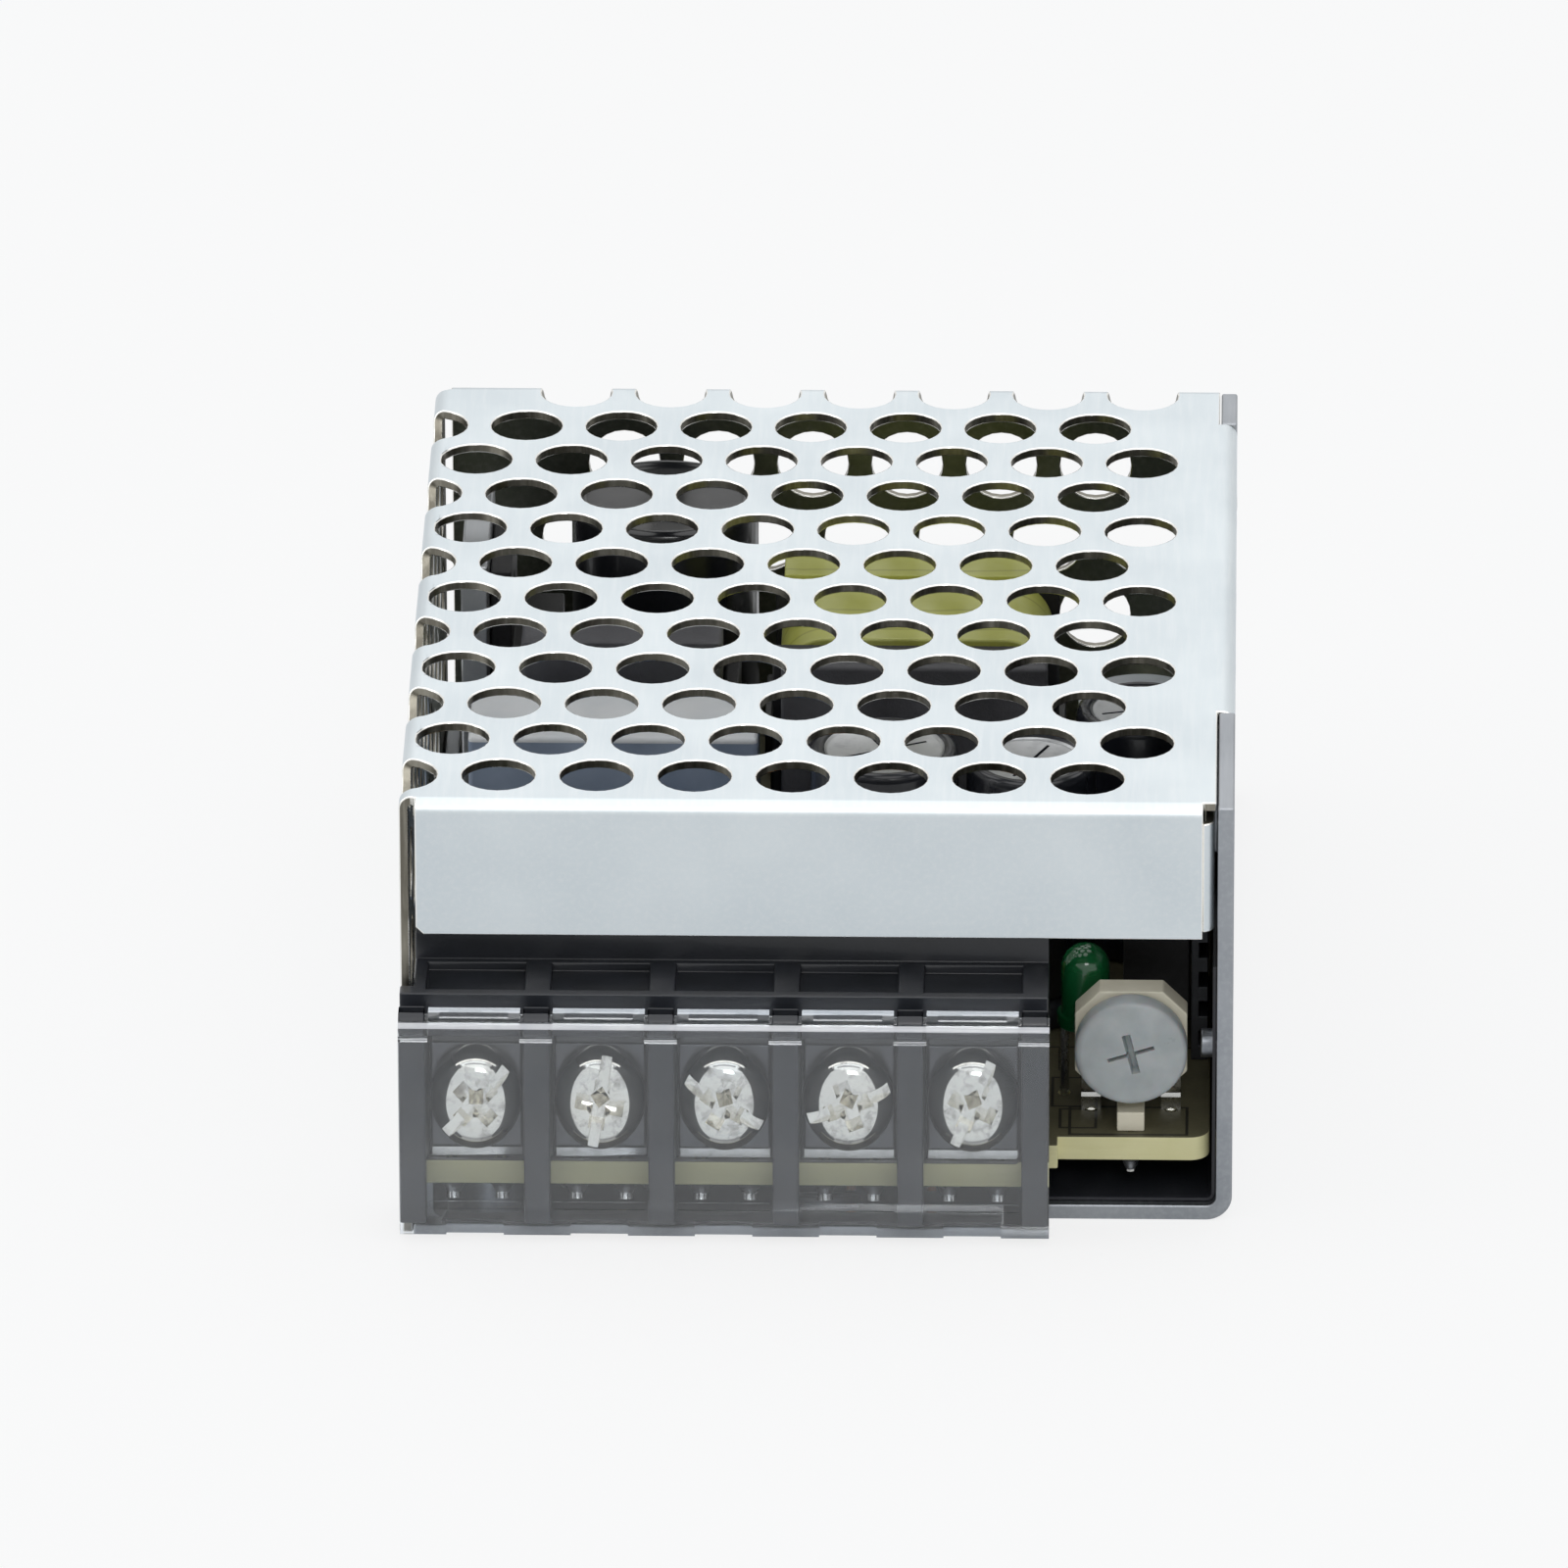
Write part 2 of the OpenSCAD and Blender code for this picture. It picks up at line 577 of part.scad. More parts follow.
module terminal_plates() {
    color("#cfd2d2") centred() for (i = [0 : cells - 1]) {
        difference() {
            box([cell_x(i) - cell_w / 2 + 0.2, cell_x(i) + cell_w / 2 - 0.2], [plate_y, plate_y + plate_t],
                [board_top + gap, roof_z - 0.8]);
            rod_y(cell_x(i), [plate_y - 1, plate_y + plate_t + 1], screw_z, screw_d / 2 + thread_gap);
        }
    }
    color("#cfd2d2") centred() leads(plate_pins, board_top + gap + 0.3);
}

module terminal_washer(i) {
    color("#d6d9da") centred() difference() {
        translate([cell_x(i), plate_y, screw_z]) rotate([90, 0, 0]) linear_extrude(washer_t) difference() {
            square([cell_w - 0.4, cell_w - 0.4], center = true);
            for (a = [45 : 90 : 315]) rotate(a) translate([cell_w * 0.7, -2]) square([2, 4]);
            circle(screw_d / 2 + gap);
        }
    }
}

module terminal_screw(i) {
    color("#dcdedd") centred() translate([cell_x(i), washer_y, screw_z]) rotate([90, 0, 0])
        rotate([0, 0, slot_angles[i]]) difference() {
            pan_screw(screw_d / 2, screw_head_d / 2, head_h, screw_l);
            translate([-screw_head_d, -0.35, head_h - 0.8]) cube([screw_head_d * 2, 0.7, 2]);
        }
}

// Clear shield, hung on bars that lie in the eyes of the barriers
module terminal_shield() {
    top = hinge_z + shelf_t / 2;
    edge_r = 0.45;
    x = [left, block_right + gap];
    color("#cfd8dc", 0.35) centred() {
        difference() {
            across(x) {
                translate([shield_y, shield_low]) square([shield_t, top - edge_r - shield_low]);
                translate([shield_y + edge_r, top - shelf_t])
                    square([shelf_back - shield_y - edge_r, shelf_t]);
                translate([shield_y + edge_r, top - edge_r]) circle(edge_r);
            }
            for (i = [0 : cells]) {
                // notch round each eye
                rod_x([barrier_x(i) - barrier_t / 2 - 0.2, barrier_x(i) + barrier_t / 2 + 0.2],
                    hinge_y, hinge_z, ear_r + 0.17);
            }
            for (i = [0 : cells - 1]) {
                box([cell_x(i) - 2.1, cell_x(i) + 2.1], [hinge_y - 0.3, hinge_y + 0.3], [top - 0.3, top + 1]);
                box([cell_x(i) - cell_pitch / 2 + 2.05, cell_x(i) + cell_pitch / 2 - 2.05],
                    [shield_y - 1, shield_y + 0.25], [shield_low - 1, shield_low + 1.5]);
            }
        }
        for (i = [0 : cells]) intersection() {
            rod_x([barrier_x(i) - barrier_t / 2 - 0.6, barrier_x(i) + barrier_t / 2 + 0.6],
                hinge_y, hinge_z, hinge_r);
            box(x, [hinge_y - 2, hinge_y + 2], [0, case_h]);
        }
        for (i = [0 : cells - 1])
            box([cell_x(i) - cell_w / 2 + 0.2, cell_x(i) + cell_w / 2 - 0.2],
                [shield_y + shield_t - eps, shield_y + shield_t + 0.8], [shield_low + 1.7, shield_low + 2.2]);
    }
}

// ------------------------------------------------------------ adjuster and lamp

module indicator_lamp() {
    r = lamp_d / 2;
    color("#1d6b3a", 0.85) centred() translate([lamp_x, lamp_y, lamp_z]) {
        rotate_extrude() square([r + 0.25, 0.8]);
        cylinder(h = lamp_h - r, r = r);
        translate([0, 0, lamp_h - r]) rotate_extrude() intersection() {
            circle(r);
            square(r);
        }
    }
}

module lamp_leads() {
    color("#d8d8d4") centred() leads(lamp_pins, lamp_z);
}

module octagon(w, cut) {
    difference() {
        square([w, w], center = true);
        for (a = [45 : 90 : 315]) rotate(a) translate([w * sqrt(0.5) - cut * sqrt(0.5), -w]) square([w, 2 * w]);
    }
}

module trimmer_base() {
    color("#e6e0c8") centred() difference() {
        union() {
            translate([trimmer_x, trimmer_y + trimmer_t, trimmer_z]) rotate([90, 0, 0])
                linear_extrude(trimmer_t) octagon(trimmer_w, 1.5);
            // small foot under the middle, seen below the disc
            box([trimmer_x - 0.85, trimmer_x + 0.85], [trimmer_y - 1.3, trimmer_y + trimmer_t - 0.6],
                [board_top, board_top + 1.3]);
            box([trimmer_x - 0.5, trimmer_x + 0.5], [trimmer_y + 0.3, trimmer_y + trimmer_t - 0.6],
                [board_top, trimmer_z - trimmer_w / 2 + eps]);
        }
        rod_y(trimmer_x, [trimmer_y - 1, trimmer_y + trimmer_t + 1], trimmer_z, rotor_pin_r + thread_gap);
    }
}

module trimmer_rotor() {
    r = rotor_d / 2;
    color("#c9cdce") centred() translate([trimmer_x, trimmer_y - 0.2, trimmer_z]) rotate([90, 0, 0])
        difference() {
            union() {
                rotate_extrude() polygon([[0, 0], [r, 0], [r, rotor_t - 0.3], [r - 0.3, rotor_t], [0, rotor_t]]);
                translate([0, 0, -trimmer_t - 0.2]) cylinder(h = trimmer_t + 0.3, r = rotor_pin_r);
            }
            for (a = [18, 104]) rotate([0, 0, a]) translate([-1.7, -0.25, rotor_t - 0.7]) cube([3.4, 0.5, 2]);
        }
}

module trimmer_pins() {
    low = trimmer_z - trimmer_w / 2;
    color("#cfd2d2") centred() {
        for (s = [-1, 1]) {
            // leg behind the body, with a clip folded forward under its lower corner
            box([trimmer_x + s * trimmer_leg - 0.6, trimmer_x + s * trimmer_leg + 0.6],
                [trimmer_back - leg_t / 2, trimmer_back + leg_t / 2], [board_top, low + 2.6]);
            box([trimmer_x + s * trimmer_leg - 0.6, trimmer_x + s * trimmer_leg + 0.6],
                [trimmer_y + 0.5, trimmer_back + eps], [low - 0.5, low - 0.5 + leg_t]);
        }
        leads(trimmer_pin_at, board_top + eps);
    }
}

// ------------------------------------------------------------ parts on the board

// Dipped disc on two leads, its face along X
module disc_part(at, angle, r, t, lift) {
    translate([at[0], at[1], board_top]) rotate([0, 0, angle]) {
        translate([0, t / 2, lift + r]) rotate([90, 0, 0]) rotate_extrude()
            polygon([[0, 0], [r - 0.5, 0], [r, t * 0.3], [r, t * 0.7], [r - 0.5, t], [0, t]]);
        for (s = [-1, 1]) translate([s * disc_pitch / 2, 0, pin_end - board_top])
            cylinder(h = board_top - pin_end + lift + r * 0.5, r = 0.3, $fn = 8);
    }
}

module fuse() {
    color("#26282b") centred() {
        box([fuse_at[0] - 4.1 * span_x, fuse_at[0] + 4.1 * span_x],
            [fuse_at[1] - 2 * span_y, fuse_at[1] + 2 * span_y], [board_top, board_top + 7.6]);
        leads(fuse_pins, board_top + 1);
    }
}

module inrush_thermistor() {
    color("#2f4d3a") centred() disc_part(thermistor_at, 0, 4.2 * span, 3.2 * span, 2);
}

module surge_varistor() {
    color("#c9862f") centred() disc_part(varistor_at, 0, 3.8 * span, 3 * span, 1.6);
}

// White boxed film capacitor
module line_capacitor() {
    color("#dfe3e6") centred() {
        translate([line_cap[0], line_cap[1], board_top]) cube([line_cap[2], line_cap[3], line_cap[4]]);
        leads(line_cap_pins, board_top + 1);
    }
}

module line_choke_core() {
    w = choke[2];
    color("#2b2b2e") centred() translate([choke[0], choke[1], board_top + 2]) difference() {
        translate([-w / 2, -2, 0]) cube([w, 4, choke[4] - 2]);
        translate([-w / 2 + 3, -3, 3]) cube([w - 6, 6, choke[4] - 8]);
    }
}

module line_choke_coils() {
    w = choke[2];
    color("#1a1a1c") centred() {
        for (s = [-1, 1]) translate([choke[0] + s * (w / 2 - 1.5), choke[1], board_top + 5.2]) difference() {
            translate([-2.6, -choke[3] / 2, 0]) cube([5.2, choke[3], choke[4] - 8.4]);
            translate([-1.6, -2.1, -1]) cube([3.2, 4.2, choke[4]]);
        }
        translate([choke[0] - w / 2, choke[1] - choke[3] / 2, board_top]) cube([w, choke[3], 1.9]);
        leads(choke_pins, board_top + 1);
    }
}

module safety_capacitors() {
    color("#3f6fae") centred() for (c = safety_at) disc_part([c[0], c[1]], c[2], 3.4 * span, 2.6 * span, 1.6);
}

// Flat moulded package whose legs fold out of its long sides
module dual_in_line(at, body, pins) {
    translate([at[0] - body[0] / 2, at[1] - body[1] / 2, board_top + 0.5]) cube(body);
    for (p = pins) {
        y = [min(p[1] - 0.3, at[1]), max(p[1] + 0.3, at[1])];
        box([p[0] - 0.5, p[0] + 0.5], y, [board_top + 1.6, board_top + 1.9]);
    }
    leads(pins, board_top + 1.8);
}

module bridge_rectifier() {
    color("#232326") centred() dual_in_line(bridge_at, [8.4 * span_x, 6.4 * span_y, 3.3], bridge_pins);
}

// Can with a rolled groove low down and a crimped top edge
module can(r, h) {
    rotate_extrude() polygon([[0, 0], [r - 0.3, 0], [r, 0.3], [r, 1.5], [r - 0.35, 1.9], [r, 2.3],
        [r, h - 0.5], [r - 0.4, h], [r - 0.9, h], [r - 1.1, h - 0.25], [0, h - 0.25]]);
}

module bulk_capacitor() {
    color("#202126") centred() {
        translate([bulk_at[0], bulk_at[1], board_top]) can(bulk_r, bulk_h);
        leads(bulk_pins, board_top + 1);
    }
}

module output_capacitors() {
    color("#3a3d46") centred() {
        for (c = cans) translate([c[0], c[1], board_top]) can(c[2], c[3]);
        leads(can_pins, board_top + 1);
    }
}

// Flat three-legged power package, standing, its tab against -X
module power_package() {
    translate([0, -package_w / 2, 5]) cube([1.3, package_w, 15]);
    translate([1.3 - eps, -package_w / 2, 5]) cube([3 * span_x - 0.4 * (1 - span_x), package_w, 9]);
}

module switching_transistor() {
    color("#2a2a2d") centred() {
        translate([transistor_at[0], transistor_at[1], board_top]) difference() {
            translate([0, 0, -2]) power_package();
            translate([-1, 0, 14.2]) rotate([0, 90, 0]) cylinder(h = 4, r = 1.6);
        }
        leads(transistor_pins, board_top + 4);
    }
}

module transistor_heatsink() {
    color("#b4b9bd") centred() {
        difference() {
            box([sink_x - 0.1, sink_x + 1.6], [transistor_at[1] - sink_l * 0.55, transistor_at[1] + sink_l * 0.45],
                [board_top, board_top + 19.5]);
            rod_x([sink_x - 1, sink_x + 3], transistor_at[1], board_top + 14.2, 1.3);
        }
    }
}

module transformer_core() {
    w = xfmr[2];
    d = xfmr[3];
    h = xfmr[4];
    color("#55565a") centred() translate([xfmr[0], xfmr[1], board_top + 2.4]) difference() {
        translate([-w / 2 + 1, -d / 2, 0]) cube([w - 2, d, h - 2.4]);
        translate([-w / 2, -d / 2 + 3, 3.6]) cube([w, d - 6, h]);
    }
    color("#55565a") centred() translate([xfmr[0], xfmr[1], board_top + 2.4])
        translate([-2.4, -d / 2 + 2.9, 6.6]) cube([4.8, d - 5.8, 4.8]);
}

module transformer_bobbin() {
    w = xfmr[2];
    d = xfmr[3];
    tube = 6.2;
    color("#23241f") centred() {
        translate([xfmr[0], xfmr[1], board_top]) difference() {
            union() {
                for (s = [-1, 1]) {
                    // pin rail, cheek and the two webs between them
                    translate([-w / 2, s * (d / 2 - 1) - 1.2, 0]) cube([w, 2.4, 2.3]);
                    translate([-w / 2 + 0.4, s * (d / 2 - 3.8) - 0.5, 6.2]) cube([w - 0.8, 1, xfmr[4] - 6.6]);
                    for (t = [-1, 1]) translate([t * (w / 2 - 0.45) - 0.45, s * (d / 2 - 2.1) - 2.2, 0])
                        cube([0.9, 4.4, 8]);
                }
                translate([-tube / 2, -d / 2 + 3.8, 11.4 - tube / 2]) cube([tube, d - 7.6, tube]);
            }
            translate([-2.5, -d, 8.9]) cube([5, 2 * d, 5]);
        }
        leads(xfmr_pins, board_top + 1);
    }
}

// Winding wrapped in tape, with rounded shoulders, between the bobbin's cheeks
module transformer_winding() {
    w = xfmr[2] - 1.6;
    l = xfmr[3] - 9;
    h = xfmr[4] - 6.4;
    r = 3;
    color("#d8b93a") centred() translate([xfmr[0], xfmr[1] + l / 2, board_top + 6.3]) rotate([90, 0, 0])
        linear_extrude(l) difference() {
            union() {
                translate([-w / 2 + r, 0]) square([w - 2 * r, h]);
                translate([-w / 2, r]) square([w, h - 2 * r]);
                for (x = [-1, 1], z = [r, h - r]) translate([x * (w / 2 - r), z]) circle(r);
            }
            translate([-3.2, 1.9]) square([6.4, 6.4]);
        }
}

module output_rectifier() {
    color("#28282b") centred() {
        translate([rect_x - 1.2, rect_y + package_w / 2, board_top + 2.6]) difference() {
            union() {
                translate([0, -package_w / 2, 0]) cube([3, package_w, 9]);
                translate([2.9, -package_w / 2, 0]) cube([1.2, package_w, 13]);
            }
            translate([-1, 0, 11]) rotate([0, 90, 0]) cylinder(h = 6, r = 1.5);
        }
        leads(rectifier_pins, board_top + 3);
    }
}

// Small ribbed sink between the output rectifier and the wall
module rectifier_heatsink() {
    x = rect_x + 3;
    color("#4a4d50") centred() difference() {
        union() {
            box([x, x + 0.5], [rect_y - 1, rect_y + package_w + 1], [board_top, board_top + 14]);
            for (k = [0 : 6]) box([x, x + 1.05], [rect_y - 1, rect_y + package_w + 1],
                [board_top + 2 * k, board_top + 2 * k + 1]);
        }
        rod_x([x - 1, x + 3], rect_y + package_w / 2, board_top + 13.6, 0.3);
    }
}

module output_choke() {
    r = 4 * span;
    color("#e4e4de") centred() {
        translate([output_choke_at[0], output_choke_at[1], board_top]) rotate_extrude()
            polygon([[0, 0], [r, 0], [r, 1.4], [r - 0.6, 1.8], [r - 0.6, 8.6], [r, 9], [r, 10], [1.1, 10],
                [1.1, 9.4], [0, 9.4]]);
        leads(output_choke_pins, board_top + 1);
    }
}

module snubber_capacitor() {
    color("#8a6a3c") centred() disc_part(snubber_at, 0, 3.2 * span, 2 * span, 3.4);
}

module optocoupler() {
    color("#dedfdc") centred() dual_in_line(opto_at, [6.4 * span_x, 4.6 * span_y, 3.4], opto_pins);
}

module control_chip() {
    color("#28282b") centred() dual_in_line(chip_at, [9.6 * span_x, 6.4 * span_y, 3.3], chip_pins);
}

module resistors() {
    color("#b9a27a") centred() for (q = resistor_spots)
        translate([q[0], q[1], board_top + 1.4]) {
            rotate([0, 90, 0]) translate([0, 0, -3.2]) rotate_extrude()
                polygon([[0, 0], [0.9, 0], [1.2, 0.5], [1.2, 1.2], [1, 1.6], [1, 4.8], [1.2, 5.2], [1.2, 5.9],
                    [0.9, 6.4], [0, 6.4]]);
            for (s = [-1, 1]) {
                box([min(s * 3, s * resistor_reach), max(s * 3, s * resistor_reach)], [-0.28, 0.28], [-0.28, 0.28]);
                translate([s * resistor_reach, 0, pin_end - board_top - 1.4])
                    cylinder(h = board_top - pin_end + 1.68, r = 0.3, $fn = 8);
            }
        }
}

chassis();
mesh_cover();
cover_screws();
insulating_sheet();
circuit_board();
board_screws();
terminal_block();
terminal_plates();
terminal_shield();
terminal_washer(0);  // terminal_washer_1
terminal_washer(1);  // terminal_washer_2
terminal_washer(2);  // terminal_washer_3
terminal_washer(3);  // terminal_washer_4
terminal_washer(4);  // terminal_washer_5
terminal_screw(0);  // terminal_screw_1
terminal_screw(1);  // terminal_screw_2
terminal_screw(2);  // terminal_screw_3
terminal_screw(3);  // terminal_screw_4
terminal_screw(4);  // terminal_screw_5
indicator_lamp();
lamp_leads();
trimmer_base();
trimmer_rotor();
trimmer_pins();
fuse();
inrush_thermistor();
surge_varistor();
line_capacitor();
line_choke_core();
line_choke_coils();
safety_capacitors();
bridge_rectifier();
bulk_capacitor();
switching_transistor();
transistor_heatsink();
transformer_core();
transformer_bobbin();
transformer_winding();
output_rectifier();
rectifier_heatsink();
output_capacitors();
output_choke();
snubber_capacitor();
optocoupler();
control_chip();
resistors();
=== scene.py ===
"""Looks of the enclosed switching supply: perforated cover, folded chassis, terminal
block with its clear shield, adjuster, lamp and the wound and dipped parts on the board."""
import math

import bmesh
import bpy
from mathutils import Matrix, Vector


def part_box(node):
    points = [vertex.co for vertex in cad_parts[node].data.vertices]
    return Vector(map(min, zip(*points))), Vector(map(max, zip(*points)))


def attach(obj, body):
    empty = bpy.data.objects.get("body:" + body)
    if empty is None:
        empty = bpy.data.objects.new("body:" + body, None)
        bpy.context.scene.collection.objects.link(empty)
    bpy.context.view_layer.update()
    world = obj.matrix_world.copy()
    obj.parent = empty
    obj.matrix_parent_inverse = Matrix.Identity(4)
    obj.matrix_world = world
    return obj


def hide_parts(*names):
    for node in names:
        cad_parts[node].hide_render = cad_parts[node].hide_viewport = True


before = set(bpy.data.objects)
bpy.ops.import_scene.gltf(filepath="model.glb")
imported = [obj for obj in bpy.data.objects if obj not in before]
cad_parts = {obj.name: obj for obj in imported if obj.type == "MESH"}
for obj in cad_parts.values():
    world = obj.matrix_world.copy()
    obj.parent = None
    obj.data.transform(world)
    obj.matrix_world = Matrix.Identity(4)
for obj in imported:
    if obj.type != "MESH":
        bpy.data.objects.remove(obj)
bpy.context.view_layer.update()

MM = 0.001
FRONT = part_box("chassis")[0].y / MM            # front edge of the case, in mm
TO_FRAME = Matrix.Translation((0, FRONT * MM, 0)) @ Matrix.Scale(MM, 4)

# main sizes in mm, X across, Y back from the front edge of the case, Z up
WIDTH, LENGTH, HEIGHT = 51.0, 62.5, 28.0
LEFT, RIGHT = -WIDTH / 2, WIDTH / 2
BOARD_TOP = (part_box("circuit_board")[1].z / MM)
SHEET = 0.6
CELL = 7.62


# ---------------------------------------------------------------- finishes

def rgb(r, g, b):
    """Linear colour from the eight-bit values of a paint chip."""
    return tuple((c / 12.92 if c <= 0.04045 else ((c + 0.055) / 1.055) ** 2.4)
                 for c in (r / 255, g / 255, b / 255)) + (1.0,)


class Field:
    """A value, colour or vector that varies over a surface."""

    def __init__(self, finish, socket):
        self.finish, self.socket = finish, socket

    def math(self, operation, *others):
        return self.finish.node("ShaderNodeMath", {"operation": operation},
                                dict(enumerate((self,) + others)))

    def reflected(self, operation, other):
        return self.finish.node("ShaderNodeMath", {"operation": operation}, {0: other, 1: self})

    def __add__(self, other): return self.math("ADD", other)
    def __radd__(self, other): return self.math("ADD", other)
    def __sub__(self, other): return self.math("SUBTRACT", other)
    def __rsub__(self, other): return self.reflected("SUBTRACT", other)
    def __mul__(self, other): return self.math("MULTIPLY", other)
    def __rmul__(self, other): return self.math("MULTIPLY", other)
    def __gt__(self, other): return self.math("GREATER_THAN", other)
    def __lt__(self, other): return self.math("LESS_THAN", other)
    def __abs__(self): return self.math("ABSOLUTE")

    def greater(self, other): return self.math("MAXIMUM", other)

    def between(self, low, high):
        """0 below low, 1 above high, and even in between."""
        return self.finish.node("ShaderNodeMapRange", {"clamp": True},
                                {"Value": self, "From Min": low, "From Max": high})


class Shades:
    """A node tree, and the one way in which its nodes are made."""

    def __init__(self, tree):
        self.tree = tree

    def node(self, kind, settings=None, values=None, out=0):
        node = self.tree.nodes.new(kind)
        for key, value in (settings or {}).items():
            if key == "stops":
                ramp = node.color_ramp
                while len(ramp.elements) < len(value):
                    ramp.elements.new(0.5)
                for element, (place, colour) in zip(ramp.elements, value):
                    element.position, element.color = place, colour
            else:
                setattr(node, key, value)
        for key, value in (values or {}).items():
            if isinstance(value, Field):
                self.tree.links.new(value.socket, node.inputs[key])
            else:
                node.inputs[key].default_value = value
        return Field(self, node.outputs[out]) if len(node.outputs) else node


class Finish(Shades):
    """One finish: a Principled surface and the fields that vary over it."""

    def __init__(self, name, **constants):
        self.material = bpy.data.materials.new(name)
        self.material.use_nodes = True
        super().__init__(self.material.node_tree)
        self.surface = self.tree.nodes["Principled BSDF"]
        self.end = self.tree.nodes["Material Output"]
        for socket, value in constants.items():
            self.surface.inputs[socket.replace("_", " ")].default_value = value

    def place(self, stretch=(1, 1, 1)):
        """Position on the piece in mm, stretched along its axes."""
        spot = self.node("ShaderNodeTexCoord", out=3)
        return self.node("ShaderNodeVectorMath", {"operation": "MULTIPLY"},
                         {0: spot, 1: tuple(s / MM for s in stretch)})

    def axis(self, letter):
        """One coordinate of the place on the piece, in mm."""
        return self.node("ShaderNodeSeparateXYZ", {}, {0: self.place()}, "XYZ".index(letter))

    def clouds(self, size, detail=2.0, stretch=(1, 1, 1), rough=0.5):
        """Soft noise whose blotches are about size mm across."""
        return self.node("ShaderNodeTexNoise", {"noise_dimensions": "3D"},
                         {"Vector": self.place(stretch), "Scale": 1 / size, "Detail": detail,
                          "Roughness": rough})

    def edges(self, low=0.51, high=0.56):
        """Mask of the outer edges, where handling wears a piece."""
        return self.node("ShaderNodeNewGeometry", out=7).between(low, high)

    def blend(self, mask, first, second):
        return self.node("ShaderNodeMix", {"data_type": "RGBA"}, {0: mask, 6: first, 7: second}, 2)

    def feed(self, socket, field):
        self.tree.links.new(field.socket, self.surface.inputs[socket])
        return self

    def relief(self, height, depth, strength=1.0):
        """Fine surface relief, depth in mm."""
        return self.feed("Normal", self.node("ShaderNodeBump", {}, {
            "Height": height, "Distance": depth * MM, "Strength": strength}))


def rolled_metal(name, plain, dull, bright, rough, grain=(1, 0.06, 1), worn=0.5, metallic=1.0):
    """Rolled sheet: grain along Y, cloudy tone, brighter worn edges."""
    f = Finish(name, Metallic=metallic)
    streaks = f.clouds(0.35, 3, grain, 0.6)
    tone = f.clouds(7.0, 3)
    colour = f.blend(tone.between(0.35, 0.7), dull, plain)
    colour = f.blend(streaks.between(0.45, 0.75) * 0.35, colour, bright)
    colour = f.blend(f.edges() * worn, colour, bright)
    f.feed("Base Color", colour)
    f.feed("Roughness", rough + (tone - 0.5) * 0.12 + (streaks - 0.5) * 0.1)
    return f.relief(streaks, 0.006, 0.5)


def plated(name, plain, dull, rough, spots=0.0):
    """Bright plating with faint tarnish."""
    f = Finish(name, Metallic=1.0)
    tarnish = f.clouds(0.9, 4, rough=0.65)
    f.feed("Base Color", f.blend(tarnish.between(0.5, 0.75) * (0.6 + spots), plain, dull))
    f.feed("Roughness", rough + (tarnish - 0.4) * 0.22)
    return f.relief(f.clouds(0.25, 2), 0.004, 0.5)


def moulded(name, plain, shade, rough, pits=0.004, size=0.5, coat=0.0, worn=0.25, metallic=0.0):
    """Moulded plastic, resin or lacquer: faint mottling, fine pitting, paler edges."""
    f = Finish(name, Coat_Weight=coat, Coat_Roughness=0.08, Metallic=metallic)
    mottle = f.clouds(size * 5, 3)
    pitting = f.clouds(size * 0.3, 3, rough=0.7)
    pale = tuple(min(1.0, c * 1.3 + 0.03) for c in plain[:3]) + (1.0,)
    colour = f.blend(mottle.between(0.35, 0.7), shade, plain)
    f.feed("Base Color", f.blend(f.edges() * worn, colour, pale))
    f.feed("Roughness", rough + (pitting - 0.5) * 0.18)
    return f.relief(pitting, pits)


def make_board():
    """Pale laminate with a printed outline on top and green resist below."""
    f = Finish("board", Specular_IOR_Level=0.45)
    x, y, z = f.axis("X"), f.axis("Y"), f.axis("Z")
    weave = f.clouds(0.3, 2, (1, 1, 3))
    cloud = f.clouds(4, 3)
    edge = f.blend(cloud.between(0.3, 0.7), rgb(208, 203, 153), rgb(220, 215, 170))
    edge = f.blend(f.clouds(0.5, 3, (0.1, 0.1, 1.6)).between(0.5, 0.8) * 0.3, edge, rgb(196, 190, 138))
    top = f.blend(cloud.between(0.3, 0.7), rgb(84, 81, 62), rgb(100, 96, 73))

    def outline(middle_x, middle_y, half_x, half_y, line=0.09):
        """Printed rectangle round a part."""
        reach = (abs(x - middle_x) - half_x).greater(abs(y - (middle_y + FRONT)) - half_y)
        return abs(reach) < line

    # printed outlines round the parts, and broken marks on a coarse grid between them
    bricks = f.node("ShaderNodeTexBrick", {"offset": 0.37, "squash": 1.0}, {
        "Vector": f.place(), "Color1": (0, 0, 0, 1), "Color2": (0, 0, 0, 1), "Mortar": (1, 1, 1, 1),
        "Scale": 1.0, "Mortar Size": 0.09, "Mortar Smooth": 0.1, "Brick Width": 7.4, "Row Height": 4.1}, 1)
    broken = bricks * f.clouds(3.2, 1).between(0.47, 0.5) * (y > (FRONT + 7.5))
    print_marks = broken.greater(outline(19.1, 2.6, 3.6, 1.9)).greater(outline(16.0, 2.9, 1.1, 1.3))
    print_marks = print_marks.greater(outline(16.4, 6.6, 2.0, 2.0)).greater(outline(12.0, 40.0, 11.6, 9.6))
    top = f.blend(print_marks, top, rgb(38, 37, 30))
    under = f.blend(cloud.between(0.3, 0.7), rgb(22, 74, 44), rgb(30, 92, 54))
    colour = f.blend(z > (BOARD_TOP - 0.03), edge, top)
    f.feed("Base Color", f.blend(z < (BOARD_TOP - 1.57), colour, under))
    f.feed("Roughness", 0.5 + (weave - 0.5) * 0.2)
    return f.relief(weave, 0.01)


